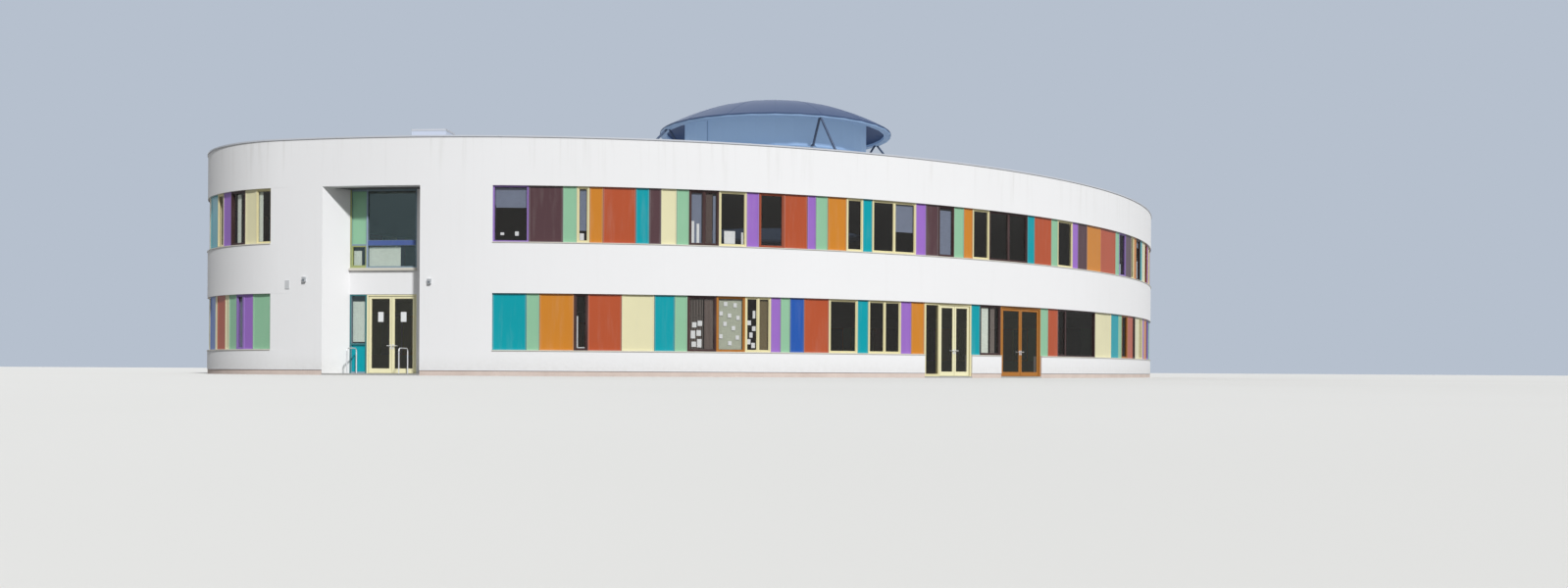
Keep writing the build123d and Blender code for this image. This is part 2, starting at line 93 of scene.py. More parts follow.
# %% Wires and finishes
class Wire:
    """One output of a node. Sums on it add Math nodes."""

    def __init__(self, finish, socket):
        self.finish = finish
        self.socket = socket

    def math(self, operation, first, second, clamp=False):
        return self.finish.node("Math", {"operation": operation, "use_clamp": clamp}, {0: first, 1: second})

    def __add__(self, other):
        return self.math("ADD", self, other)

    def __mul__(self, other):
        return self.math("MULTIPLY", self, other)

    def __rsub__(self, other):
        return self.math("SUBTRACT", other, self)

    __radd__, __rmul__ = __add__, __mul__

    def clamp(self):
        return self.math("ADD", self, 0.0, clamp=True)

    def step(self, low, high):
        """0 below low, 1 above high and a smooth rise between them."""
        inputs = {"Value": self, "From Min": low, "From Max": high}
        return self.finish.node("MapRange", {"interpolation_type": "SMOOTHSTEP"}, inputs)


class Finish:
    """A graph of nodes, in a new material or in the block that is given."""

    def __init__(self, name, block=None):
        self.block = block or bpy.data.materials.new(name)
        self.block.use_nodes = True
        self.tree = self.block.node_tree
        self.tree.nodes.clear()

    def node(self, kind, settings=None, inputs=None, output=0):
        made = self.tree.nodes.new("ShaderNode" + kind)
        for key, value in (settings or {}).items():
            setattr(made, key, value)
        for key, value in (inputs or {}).items():
            if isinstance(value, Wire):
                self.tree.links.new(value.socket, made.inputs[key])
            else:
                made.inputs[key].default_value = value
        return Wire(self, made.outputs[output])

    @property
    def place(self):
        """The place on the object, in the object's own coordinates."""
        return self.node("TexCoord", output="Object")

    def noise(self, scale, detail, stretch=(1.0, 1.0, 1.0)):
        """Noise in the object's own place, drawn out or pressed together along each axis."""
        place = self.node("Mapping", None, {"Vector": self.place, "Scale": stretch})
        inputs = {"Vector": place, "Scale": scale, "Detail": detail, "Roughness": 0.55}
        return self.node("TexNoise", None, inputs)

    def height(self):
        return self.node("SeparateXYZ", None, {0: self.place}, output="Z")

    def mix(self, share, first, second):
        """Colour between two colours."""
        return self.node("Mix", {"data_type": "RGBA"}, {0: share, 6: first, 7: second}, output=2)

    def bump(self, height, depth, strength):
        return self.node("Bump", None, {"Height": height, "Distance": depth, "Strength": strength})

    def close(self, shader, kind):
        """Join a shader to the output of the graph, and give back the material or the world."""
        output = self.tree.nodes.new("ShaderNodeOutput" + kind)
        self.tree.links.new(shader.socket, output.inputs["Surface"])
        return self.block

    def show(self, **sockets):
        """The plain surface shader; the words of a socket's name are joined with underscores."""
        inputs = {key.replace("_", " "): value for key, value in sockets.items()}
        return self.close(self.node("BsdfPrincipled", None, inputs), "Material")


def paint(red, green, blue):
    """A colour as 8-bit display values, turned into the linear values that a socket holds."""
    shares = [value / 255 for value in (red, green, blue)]
    return (*(s / 12.92 if s <= 0.04045 else ((s + 0.055) / 1.055) ** 2.4 for s in shares), 1.0)


def shade(colour, share):
    """A share of a colour."""
    return (*(value * share for value in colour[:3]), 1.0)


print("white render in linear values", [round(v, 3) for v in paint(235, 235, 236)[:3]])

# %% [markdown]
# ## Floor, light and background
# A plain pale floor, a broad sun and a weak fill from behind stand in for the day: the sun comes
# from straight before the entrance side, well up, as the bright left reveal of the recess shows.
# The sky lights the building softly. What the camera sees of sky and floor, straight, mirrored or
# through glass, is paler than what lights the walls, so that soffits and reveals keep their shade.

# %% Floor, sun and sky
FLOOR_REACH = 220.0
SUN_STRENGTH, FILL_STRENGTH, SKY_STRENGTH = 3.15, 0.75, 0.34


def shown_share(finish):
    """1 on rays from the camera, off a mirror or through glass; 0 on light that goes to a surface."""
    share = finish.node("LightPath", output="Is Camera Ray")
    for ray in ("Is Glossy Ray", "Is Transmission Ray"):
        share = share.math("MAXIMUM", share, finish.node("LightPath", output=ray))
    return share


def floor_finish():
    """Pale to the eye, and darker to the light that it throws back."""
    finish = Finish("pale_floor")
    pale = finish.mix(finish.noise(0.12, 4.0), paint(214, 213, 209), paint(222, 221, 218))
    return finish.show(Base_Color=finish.mix(shown_share(finish), paint(110, 108, 104), pale), Roughness=0.9)


def far_lamp(name, strength, spread, height, bearing):
    """A lamp so far off that its rays are parallel; its spread softens the shadows. Angles in degrees."""
    lamp = placed(name, bpy.data.lights.new(name, "SUN"))
    lamp.data.energy = strength
    lamp.data.angle = math.radians(spread)
    lamp.rotation_euler = (math.radians(90.0 - height), 0, math.radians(bearing))


floor_mesh = bpy.data.meshes.new("floor")
corners = [(x * FLOOR_REACH, y * FLOOR_REACH, 0) for x, y in ((-1, -1), (1, -1), (1, 1), (-1, 1))]
floor_mesh.from_pydata(corners, [], [(0, 1, 2, 3)])
floor_mesh.materials.append(floor_finish())
floor = placed("floor", floor_mesh)
far_lamp("sun", SUN_STRENGTH, 4.0, 40.0, -6.0)
far_lamp("fill", FILL_STRENGTH, 60.0, 30.0, 172.0)

sky = Finish("soft_sky", bpy.data.worlds.new("soft_sky"))
light_sky = sky.node("Background", None, {"Color": (0.93, 0.96, 1.0, 1.0), "Strength": SKY_STRENGTH})
shown_sky = sky.node("Background", None, {"Color": paint(182, 192, 206), "Strength": 1.0})
either_sky = sky.node("MixShader", None, {0: shown_share(sky), 1: light_sky, 2: shown_sky})
bpy.context.scene.world = sky.close(either_sky, "World")
bpy.context.scene.view_settings.view_transform = "Standard"
print("sun", SUN_STRENGTH, "fill", FILL_STRENGTH, "sky", SKY_STRENGTH)

# %% [markdown]
# ## Finding a place on the oval
# The outer wall is an oval of four arcs. A place on it is easiest to name as a distance along the
# wall from the middle of the front, the run, and a distance behind the wall face, the inset. The
# functions below turn runs and insets into x and y, and back. They take whole arrays, so that one
# call places every piece of a band.

# %% The oval in numbers
HALF_LENGTH = 12.35
HALF_WIDTH = 7.28
NOSE_RADIUS = 3.10
nose_centre = HALF_LENGTH - NOSE_RADIUS
side_radius = (nose_centre ** 2 + HALF_WIDTH ** 2 - NOSE_RADIUS ** 2) / (2 * (HALF_WIDTH - NOSE_RADIUS))
side_centre = side_radius - HALF_WIDTH
side_turn = math.atan2(nose_centre, side_centre)
side_run = side_radius * side_turn
nose_run = NOSE_RADIUS * (math.pi - 2 * side_turn)
half_run = 2 * side_run + nose_run


def stacked(*values):
    """Values brought to one shape and set side by side in a new last axis."""
    return np.stack(np.broadcast_arrays(*values), axis=-1)


def wall_turn(run):
    """Angle of the outward normal from -Y: run over radius on each arc, added up from the front."""
    run = (np.asarray(run, float) + half_run) % (2 * half_run) - half_run
    size = np.abs(run)
    nose = side_turn + (size - side_run) / NOSE_RADIUS
    back = math.pi - side_turn + (size - side_run - nose_run) / side_radius
    turn = np.select([size <= side_run, size <= side_run + nose_run], [size / side_radius, nose], back)
    return np.copysign(turn, run)


def wall_point(run, inset, height):
    """x, y, z of a place: the arc's centre plus (radius - inset) times (sin turn, -cos turn)."""
    turn = wall_turn(run)
    size = np.abs(turn)
    on_nose = (size > side_turn) & (size < math.pi - side_turn)
    centre_x = np.where(on_nose, np.copysign(nose_centre, turn), 0.0)
    centre_y = np.where(on_nose, 0.0, np.where(size <= side_turn, side_centre, -side_centre))
    reach = np.where(on_nose, NOSE_RADIUS, side_radius) - inset
    return stacked(centre_x + reach * np.sin(turn), centre_y - reach * np.cos(turn), height)


def wall_place(points):
    """Run and inset: the angle from the arc's centre times its radius, and what is left of the radius."""
    x, y = points[..., 0], points[..., 1]
    front_turn = np.arctan2(x, side_centre - y)
    back_turn = np.copysign(np.pi - np.abs(np.arctan2(x, y + side_centre)), x)
    nose_turn = np.arctan2(x - np.copysign(nose_centre, x), -y)
    on_front, on_back = np.abs(front_turn) <= side_turn, np.abs(back_turn) >= math.pi - side_turn
    sides = [on_front & (y < 0), on_back & (y > 0)]
    turn = np.select(sides, [front_turn, back_turn], nose_turn)
    size = np.abs(turn)
    back_run = side_run + nose_run + (size - math.pi + side_turn) * side_radius
    run = np.select(sides, [size * side_radius, back_run], side_run + (size - side_turn) * NOSE_RADIUS)
    side_insets = [side_radius - np.hypot(x, side_centre - y), side_radius - np.hypot(x, side_centre + y)]
    inset = np.select(sides, side_insets, NOSE_RADIUS - np.hypot(np.abs(x) - nose_centre, y))
    return np.copysign(run, turn), inset


trial = np.array([-29.0, -20.0, -14.0, -11.3, 0.5, 12.0, 15.0, 22.0, 30.0])
found, depth = wall_place(wall_point(trial, 0.05, 0.0))
print("largest error of a place found again", float(np.abs([found - trial, depth - 0.05]).max()))

# %% [markdown]
# ## Meshes from whole arrays
# A piece is made of rings of points: a profile carried along a line, or a profile carried round the
# four corners of a rectangle with mitred joints. The faces are worked out once and copied to all
# repeats by adding an offset, so a mesh of a thousand bars costs a few array sums.

# %% Rings and pieces
SMOOTH_BELOW = math.radians(35)        # an edge that turns more than this stays sharp on a smooth piece
made_pieces = {}                       # the number of faces of each piece


def ring_faces(count, corners, closed=False):
    """Faces (i, j), (i, j + 1), (i + 1, j + 1), (i + 1, j) between rings i and i + 1 at their corners j."""
    i, j = np.meshgrid(np.arange(count if closed else count - 1), np.arange(corners), indexing="ij")
    ring, after, beside = i * corners, (i + 1) % count * corners, (j + 1) % corners
    return stacked(ring + j, ring + beside, after + beside, after + j).reshape(-1, 4)


def rings(grid, closed=False):
    """A shape from rings of points (copies, rings, corners, 3): a loop if closed, else with end faces."""
    copies, count, corners = grid.shape[:3]
    faces, end = [ring_faces(count, corners, closed)], np.arange(corners)[None]
    if not closed:
        faces += [end[:, ::-1], (count - 1) * corners + end]
    return grid.reshape(copies, -1, 3), faces


def signed_volume(corners, face_sets):
    """Six times the volume inside all copies, from fans of triangles: negative if faces point inwards."""
    corners = corners - corners[:, :1]
    total = 0.0
    for faces in face_sets:
        for k in range(1, faces.shape[1] - 1):
            a, b, c = (corners[:, faces[:, i]] for i in (0, k, k + 1))
            total += float((a * np.cross(b, c)).sum())
    return total


def make_piece(name, shapes, finish, body="building", smooth=False):
    """One mesh from shapes: each has the points of its copies and the sets of faces of one copy."""
    points, counts, loops, first = [], [], [], 0
    for corners, face_sets in shapes:
        copies, size = corners.shape[:2]
        offsets = first + size * np.arange(copies)
        if signed_volume(corners, face_sets) < 0:
            face_sets = [faces[:, ::-1] for faces in face_sets]
        for faces in face_sets:
            loops.append((faces[None] + offsets[:, None, None]).ravel())
            counts.append(np.full(len(faces) * copies, faces.shape[1]))
        points.append(corners.reshape(-1, 3))
        first += copies * size
    points, counts, loops = (np.concatenate(part) for part in (points, counts, loops))
    mesh = bpy.data.meshes.new(name)
    mesh.vertices.add(len(points))
    mesh.vertices.foreach_set("co", points.astype(np.float32).ravel())
    mesh.loops.add(len(loops))
    mesh.loops.foreach_set("vertex_index", loops.astype(np.int32))
    mesh.polygons.add(len(counts))
    mesh.polygons.foreach_set("loop_start", (np.cumsum(counts) - counts).astype(np.int32))
    mesh.update(calc_edges=True)
    mesh.polygons.foreach_set("use_smooth", np.full(len(counts), smooth))
    if smooth:
        mesh.set_sharp_from_angle(angle=SMOOTH_BELOW)
    mesh.materials.append(finish)
    piece = placed(name, mesh)
    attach(piece, body)
    made_pieces[name] = len(counts)
    return piece


print("faces of 3 rings of 4 points, open and closed", len(ring_faces(3, 4)), len(ring_faces(3, 4, True)))

# %% [markdown]
# A place function turns along, inset and height into x, y and z. `wall_point` is one; the flat ones
# below serve screens, doors and boxes. The shapes take any of them.

# %% Profiles on a place function
def carried(place, along, insets, heights):
    """Closed profiles, insets and heights (copies, corners), carried along stations (copies, stations)."""
    along, insets, heights = (np.atleast_2d(np.asarray(v, float)) for v in (along, insets, heights))
    return rings(place(*np.broadcast_arrays(along[:, :, None], insets[:, None], heights[:, None])))


def around(place, start, end, low, high, profile, closed=True):
    """A profile of offset and inset carried round rectangles: a frame if closed, else a tray with a face."""
    offsets, insets = np.array(profile, float).T
    start, end, low, high = (np.atleast_1d(np.asarray(v, float))[:, None] for v in (start, end, low, high))
    along = stacked(start + offsets, end - offsets, end - offsets, start + offsets)
    height = stacked(low + offsets, low + offsets, high - offsets, high - offsets)
    return rings(place(*np.broadcast_arrays(along, insets[:, None], height)), closed)


def bars(place, start, end, front, back, low, high, edge=0.0015):
    """Bars from start to end: a section of six corners, its two front corners taken off, carried along."""
    start, end, front, back, low, high = np.atleast_1d(start, end, front, back, low, high)
    insets = stacked(front + edge, back, back, front + edge, front, front)
    heights = stacked(low, low, high, high, high - edge, low + edge)
    return carried(place, stacked(start, end), insets, heights)


def plates(place, start, end, low, high, front, back, edge=0.002):
    """Plates with a small bevel round their faces."""
    profile = [(0.0, back), (0.0, front + edge), (edge, front)]
    return around(place, start, end, low, high, profile, closed=False)


def flat_place(origin, toward):
    """Places on an upright plane through two points: along it, behind it and up."""
    origin, toward = np.asarray(origin)[:2], np.asarray(toward)[:2]
    line = (toward - origin) / np.hypot(*(toward - origin))

    def place(along, inset, height):
        x = origin[0] + along * line[0] - inset * line[1]
        return stacked(x, origin[1] + along * line[1] + inset * line[0], height)

    return place


print("a plate has", plates(flat_place((0, 0), (1, 0)), 0, 1, 0, 1, 0, 0.1)[0].shape[1], "corners")

# %% [markdown]
# ## Reading the bands back from the model
# The model already knows where each panel, frame and pane is. Its meshes are loose triangles, so
# the corners are merged first; then the lowest label spreads through the triangles until each
# separate solid has one. The corners of a solid give its two ends along the wall, its insets and
# its levels, and every trim below is worked out from those.

# %% Separate solids of a node
GRAIN = 1e5        # corners closer than 1 / GRAIN metres are one
WALL_ZONE = 0.3    # a solid of the wall starts less than this behind its face


def separate_solids(name):
    """Corner points of each solid of a node."""
    mesh = nodes[name].data
    points = np.empty(len(mesh.vertices) * 3)
    mesh.vertices.foreach_get("co", points)
    grains = np.round(points.reshape(-1, 3) * GRAIN).astype(np.int64)
    keys, index = np.unique(grains, axis=0, return_inverse=True)
    corners = np.empty(len(mesh.loops), np.int64)
    mesh.loops.foreach_get("vertex_index", corners)
    triangles = index.ravel()[corners].reshape(-1, 3)
    label = np.arange(len(keys))
    while True:
        spread = label.copy()
        np.minimum.at(spread, triangles.ravel(), np.repeat(label[triangles].min(axis=1), 3))
        spread = spread[spread]
        if np.array_equal(spread, label):
            return [keys[label == value] / GRAIN for value in np.unique(label)]
        label = spread


def wall_units(name):
    """Start, end, front, back, low and high of each solid of a node in the wall, in order along it."""
    rows = []
    for points in separate_solids(name):
        run, inset = wall_place(points)
        run = (run - run[0] + half_run) % (2 * half_run) - half_run + run[0]
        if inset.min() < WALL_ZONE:
            rows.append([f(v) for v in (run, inset, points[:, 2]) for f in (np.min, np.max)])
    return np.array(sorted(rows)).T


def unit_point(start, end):
    """Places on flat units, by a straight line between the two ends of the unit at that inset."""
    start, end = np.atleast_1d(start)[:, None, None], np.atleast_1d(end)[:, None, None]

    def place(along, inset, height):
        left, right = wall_point(start, inset, height), wall_point(end, inset, height)
        return left + ((along - start) / (end - start))[..., None] * (right - left)

    return place


def units_by_colour(ending):
    """The wall units of the nodes whose names are a colour and this ending."""
    colours = sorted(name.removesuffix(ending) for name in nodes if name.endswith(ending))
    return {colour: wall_units(colour + ending) for colour in colours}


panels = units_by_colour("_panels")
window_frames = units_by_colour("_window_frames")
panes = {storey: wall_units(storey + "_glass") for storey in ("lower", "upper")}
for kind, found in (("panels", panels), ("windows", window_frames), ("panes", panes)):
    print(kind, {name: units.shape[1] for name, units in found.items()})

# %% [markdown]
# ## Finishes
# Each finish below is one function, named for what it is on the building. The colours were read
# off the photograph as plain display values; what varies over a surface is noise in the object's
# own place, so that it stays put when a door swings.

# %% White render and the concrete at its foot
def faces_rooms(finish):
    """1 on faces that look into the rooms: their normal is against x and y over the half sizes squared."""
    scale = (1 / HALF_LENGTH ** 2, 1 / HALF_WIDTH ** 2, 0.0)
    scaled = finish.node("VectorMath", {"operation": "MULTIPLY"}, {0: finish.place, 1: scale})
    outward = finish.node("VectorMath", {"operation": "NORMALIZE"}, {0: scaled})
    normal = finish.node("TexCoord", output="Normal")
    facing = finish.node("VectorMath", {"operation": "DOT_PRODUCT"}, {0: outward, 1: normal}, output="Value")
    return (-1.0 * facing).step(0.55, 0.75) * (1 - finish.height().step(3.42, 3.50))


def render_finish():
    """Painted smooth render: broad clouds, faint streaks below the coping and splash marks at the foot, with
    painted shade that turns the faces inside the rooms grey.
    """
    finish = Finish("white_render")
    broad = finish.noise(0.45, 4.0)
    fine = finish.noise(11.0, 5.0)
    streaks = finish.noise(1.0, 4.0, (9.0, 9.0, 0.45)).step(0.50, 0.78)
    below_coping = finish.height().step(3.3, 4.2)
    splash = 1 - finish.height().step(0.05, 0.42)
    grime = broad * 0.16 + streaks * (0.05 + 0.26 * below_coping) + splash * fine * 0.5
    colour = finish.mix(grime.clamp(), paint(241, 241, 242), paint(208, 207, 203))
    # Painted shade: faces that look into the rooms are turned a mid grey, so the rooms read dim through the
    # glass.
    colour = finish.mix(faces_rooms(finish), colour, paint(150, 149, 146))
    normal = finish.bump(finish.noise(140.0, 3.0), 0.0012, 0.3)
    return finish.show(Base_Color=colour, Roughness=0.82, Normal=normal)


def concrete_finish(name, pale, dark, scale):
    """Fair-faced concrete: clouds and pores."""
    finish = Finish(name)
    cloud = finish.noise(scale, 5.0)
    pores = finish.noise(scale * 40, 2.0).step(0.60, 0.72)
    colour = finish.mix((cloud * 0.8 + pores * 0.5).clamp(), pale, dark)
    normal = finish.bump(pores * -1.0 + cloud * 0.3, 0.002, 0.4)
    return finish.show(Base_Color=colour, Roughness=0.88, Normal=normal)


white_render = render_finish()
plinth_concrete = concrete_finish("plinth_concrete", paint(232, 216, 206), paint(188, 170, 160), 2.2)
step_concrete = concrete_finish("step_concrete", paint(188, 187, 183), paint(140, 140, 137), 1.4)
room_floor = concrete_finish("room_floor", paint(150, 147, 142), paint(120, 118, 114), 1.4)
print("finishes", white_render.name, plinth_concrete.name, step_concrete.name, room_floor.name)

# %% [markdown]
# The coloured panels are sheet metal with a baked, slightly glossy paint. Large sheets are never
# quite flat, so a slow bump bends their reflections, and rain leaves the gloss a little uneven.

# %% Painted metal in the colours of the bands
BAND_COLOURS = {
    "teal": paint(0, 162, 174), "mint": paint(150, 200, 164), "amber": paint(212, 136, 44),
    "terracotta": paint(186, 86, 50), "violet": paint(160, 112, 202), "cream": paint(236, 230, 188),
    "brown": paint(88, 62, 66), "blue": paint(38, 90, 176),
}
FRAME_COLOURS = {
    "cream": paint(232, 223, 176), "violet": paint(148, 118, 188), "brown": paint(70, 46, 44),
    "amber": paint(178, 116, 48), "terracotta": paint(158, 78, 50),
}


def paint_finish(name, colour, gloss=0.30, depth=0.004):
    """Baked paint on sheet metal: a slow change of tone, uneven gloss and a slow bend of the sheet."""
    finish = Finish(name)
    dust = finish.noise(2.0, 4.0, (5.0, 5.0, 0.6)).step(0.45, 0.85)
    base = finish.mix(finish.noise(0.8, 3.0), colour, shade(colour, 0.84))
    base = finish.mix(dust * 0.08, base, paint(190, 188, 182))
    return finish.show(
        Base_Color=base, Roughness=gloss + dust * 0.16, Specular_IOR_Level=0.25, Coat_Weight=0.06,
        Coat_Roughness=0.2, Normal=finish.bump(finish.noise(1.7, 1.0), depth, 0.25),
    )


panel_paint = {name: paint_finish(name + "_panel_paint", tone) for name, tone in BAND_COLOURS.items()}
frame_paint = {name: paint_finish(name + "_frame_paint", tone, 0.38) for name, tone in FRAME_COLOURS.items()}
door_paint = paint_finish("door_paint", paint(246, 240, 198), 0.36)
screen_paint = paint_finish("screen_paint", paint(140, 160, 172), 0.36)
light_paint = paint_finish("fitting_paint", paint(196, 199, 202), 0.36)
print("paints of the bands and their windows", len(panel_paint) + len(frame_paint))

# %% [markdown]
# Glass is dark because the rooms behind it are. Here it is mostly clear, with a thin film of metal
# that mirrors a little of what stands before it, so the blinds and papers behind it show through.

# %% Glass, metals, roof sheet and the skin of the dome
def glass_finish(name, tint, opacity):
    """Pane with a thin metal film, slightly wavy and dusty."""
    finish = Finish(name)
    normal = finish.bump(finish.noise(1.1, 1.0), 0.004, 0.12)
    dust = finish.noise(6.0, 4.0).step(0.5, 0.9)
    colour, rough = finish.mix(dust * 0.3, tint, paint(96, 104, 106)), 0.02 + dust * 0.06
    return finish.show(Base_Color=colour, Metallic=1.0, Roughness=rough, Alpha=opacity, Normal=normal)


def metal_finish(name, colour, roughness):
    """Bare metal with fine lines from its rolling and a little tarnish."""
    finish = Finish(name)
    lines = finish.noise(18.0, 3.0, (1.0, 1.0, 30.0))
    tarnish = finish.noise(1.6, 4.0)
    base = finish.mix(tarnish * 0.6 + lines * 0.3, colour, shade(colour, 0.72))
    normal = finish.bump(lines, 0.0006, 0.3)
    return finish.show(Base_Color=base, Metallic=0.3, Roughness=roughness + tarnish * 0.12, Normal=normal)


def sheet_roof_finish():
    """Single-ply roof sheet, pale grey with dust and dried puddles; the ceiling under the deck is given
    painted shade, a dark grey.
    """
    finish = Finish("roof_sheet")
    cloud = finish.noise(0.7, 5.0)
    puddles = finish.noise(0.35, 3.0).step(0.52, 0.64)
    colour = finish.mix((cloud * 0.5 + puddles * 0.4).clamp(), paint(186, 189, 191), paint(142, 143, 140))
    # Painted shade: below the deck the sheet is dark grey, for the dim ceilings of the rooms.
    colour = finish.mix(finish.height().step(3.45, 3.50), paint(84, 85, 88), colour)
    return finish.show(Base_Color=colour, Roughness=0.75, Normal=finish.bump(cloud, 0.004, 0.3))


def skin_finish(name, pale, deep, painted_glow):
    """Milky sheet: faintly clouded, with a painted glow: an emission in its own colour, though it is no lamp.
    """
    finish = Finish(name)
    cloud = finish.noise(0.6, 3.0)
    colour = finish.mix(cloud * 0.3, pale, deep)
    return finish.show(
        Base_Color=colour, Roughness=0.5, Specular_IOR_Level=0.15, Emission_Color=colour,
        Emission_Strength=painted_glow, Normal=finish.bump(cloud, 0.003, 0.2),
    )


dark_glass = glass_finish("window_glass", paint(168, 158, 144), 0.08)
screen_glass = glass_finish("screen_glass", paint(172, 190, 182), 0.13)
door_glass = glass_finish("door_glass", paint(180, 172, 150), 0.09)
# Painted light: the lantern glass, dome skin, rim and rooflight box glow with the strength given last, so
# their shaded sides stay pale.
lantern_glass = skin_finish("lantern_glass", paint(126, 151, 181), paint(118, 142, 172), 0.60)
dome_skin = skin_finish("dome_skin", paint(58, 73, 102), paint(50, 64, 92), 0.38)
coping_metal = paint_finish("coping_metal", paint(208, 212, 220), 0.42, 0.001)
flashing_metal = paint_finish("flashing_metal", paint(222, 218, 206), 0.45, 0.001)
steel = metal_finish("brushed_steel", paint(240, 241, 243), 0.34)
lantern_paint = paint_finish("lantern_paint", paint(84, 98, 124), 0.4)
rim_paint = skin_finish("rim_paint", paint(118, 142, 172), paint(96, 116, 146), 0.42)
roof_light_skin = skin_finish("roof_light_skin", paint(190, 198, 214), paint(176, 184, 202), 0.20)
roof_sheet = sheet_roof_finish()
print("glass, metals and skins ready")

# %% [markdown]
# ## Dressing the solids of the model
# Every solid of the model keeps its shape and gets a finish by its name.

# %% Finish for each node
NAMED_FINISHES = {
    "roof_deck": roof_sheet, "coping": coping_metal, "entrance_sill": flashing_metal, "entrance_rails": steel,
    "lantern_skin": dome_skin, "rooflight_box": roof_light_skin, "lantern_glass": lantern_glass,
    "lantern_rim": rim_paint, "lantern_struts": lantern_paint, "entrance_upper_frame": screen_paint,
    "entrance_sidelight_frame": screen_paint, "entrance_door_frame": door_paint,
    "cream_door_frame": frame_paint["cream"], "amber_door_frame": frame_paint["amber"],
    "entrance_glass": screen_glass, "lower_glass": dark_glass, "upper_glass": dark_glass,
    "wall_lights": light_paint, "ground_slab": room_floor, "first_floor": room_floor,
    "thresholds": step_concrete,
}


def node_finish(name):
    """The finish of a node of the model, by what it is."""
    colour = name.split("_")[0]
    if name in NAMED_FINISHES:
        return NAMED_FINISHES[name]
    if name.startswith("plinth"):
        return plinth_concrete
    if name.endswith("_pane"):
        return door_glass
    if name.endswith("_leaf"):
        return frame_paint["amber"] if colour == "amber" else door_paint
    if name.endswith("_window_frames"):
        return frame_paint[colour]
    if name.endswith("_panels"):
        return panel_paint[colour]
    return white_render


for name, node in nodes.items():
    node.material_slots[0].material = node_finish(name)
print("nodes in white render", sum(node_finish(name) is white_render for name in nodes))

# %% [markdown]
# ## Trims of the coloured bands
# Each panel is a painted sheet in a slim frame of its own colour, a little paler. The frame is a
# small section carried round the panel with mitred corners, given as pairs of offset and inset. A
# dark seal stands between one unit and the next.

# %% Panel edges and seals
SILL_LEVELS = {"lower": 0.45, "upper": 2.356}
EDGE_WIDTH, SEAL_HALF, TOUCHING = 0.022, 0.0035, 0.02
LIGHT_GREY = 0.62
SAME_LEVEL = 0.1       # units within this of a sill's level belong to its band
edge_section = [
    (0.003, 0.0410), (0.003, 0.0360), (0.005, 0.0340), (EDGE_WIDTH, 0.0340), (EDGE_WIDTH + 0.003, 0.0410),
]


def paler(colour, share=0.13):
    """A colour part of the way to a light grey."""
    return (*(value + share * (LIGHT_GREY - value) for value in colour[:3]), 1.0)


for colour, (start, end, front, back, low, high) in panels.items():
    edge_paint = paint_finish(colour + "_edge_paint", paler(BAND_COLOURS[colour]), 0.34)
    shape = around(unit_point(start, end), start, end, low, high, edge_section)
    make_piece(colour + "_panel_edges", [shape], edge_paint)

units = np.concatenate([*panels.values(), *window_frames.values()], axis=1)
bands = {label: units[:, np.abs(units[4] - level) < SAME_LEVEL] for label, level in SILL_LEVELS.items()}
seal_finish = paint_finish("seal_rubber", paint(58, 54, 54), 0.6, 0.0005)
for label, (start, end, front, back, low, high) in bands.items():
    sides = start - SEAL_HALF, start + SEAL_HALF
    shape = bars(wall_point, *sides, 0.0375, 0.0415, low + 0.001, high - 0.001, 0.0008)
    make_piece(label + "_seals", [shape], seal_finish)
print("units with a seal at their start", units.shape[1])

# %% [markdown]
# Sorting the units by their starts gives the unbroken stretches of a band, and a metal sill with a
# drip is carried along each of them.

# %% Sills with a drip
def stretches(band):
    """Starts and ends of the unbroken stretches of a band: units joined where they touch."""
    band = band[:, np.argsort(band[0])]
    gaps = np.flatnonzero(band[0, 1:] - band[1, :-1] > TOUCHING)
    return list(zip(np.append(band[0, 0], band[0, gaps + 1]), np.append(band[1, gaps], band[1, -1])))


def along_wall(start, end, insets, heights, spacing=0.12):
    """A closed section carried along the wall, with stations near enough to follow its curve."""
    return carried(wall_point, np.linspace(start, end, 2 + int((end - start) / spacing)), insets, heights)


sill_insets = [-0.0075, 0.0, 0.036, 0.036, -0.0105, -0.0105]
sill_heights = np.array([-0.0100, -0.0005, 0.0005, 0.0075, 0.0035, -0.0120])
for label, level in SILL_LEVELS.items():
    runs = stretches(bands[label])
    sills = [along_wall(a, b, sill_insets, sill_heights + level) for a, b in runs]
    make_piece(label + "_sill_flashing", sills, flashing_metal)
    print(label, "stretches", [(round(a, 2), round(b, 2)) for a, b in runs])

# %% [markdown]
# ## Window trims
# A window of this kind has a fixed frame, an opening sash inside it and a dark seal against the
# glass. The panes of the model give the openings, so the sash is the same closed section carried
# round each pane, and the seal is a smaller one inside it. The wide panes are fixed and have no
# sash.

# %% Sashes and glazing seals
SASH, WIDE_PANE = 0.015, 0.56
sash_section = [
    (-0.001, 0.0585), (-0.001, 0.0460), (0.0015, 0.0435),
    (SASH - 0.002, 0.0435), (SASH, 0.0455), (SASH, 0.0585),
]
seal_section = np.array([(-0.0005, 0.0590), (-0.0005, 0.0540), (0.0040, 0.0560), (0.0045, 0.0590)])


def panes_of(colour, wide):
    """Panes whose middle lies in a window of one colour, the wide ones or the others."""
    found, frames = [], window_frames[colour]
    for pane_units in panes.values():
        middle = pane_units[:2].mean(axis=0)[:, None]
        same_band = np.abs(pane_units[4][:, None] - frames[4]) < 2 * SAME_LEVEL
        inside = (middle > frames[0]) & (middle < frames[1]) & same_band
        is_wide = pane_units[1] - pane_units[0] > WIDE_PANE
        found.append(pane_units[:, inside.any(axis=1) & (is_wide == wide)])
    start, end, front, back, low, high = np.concatenate(found, axis=1)
    return unit_point(start, end), start, end, low, high


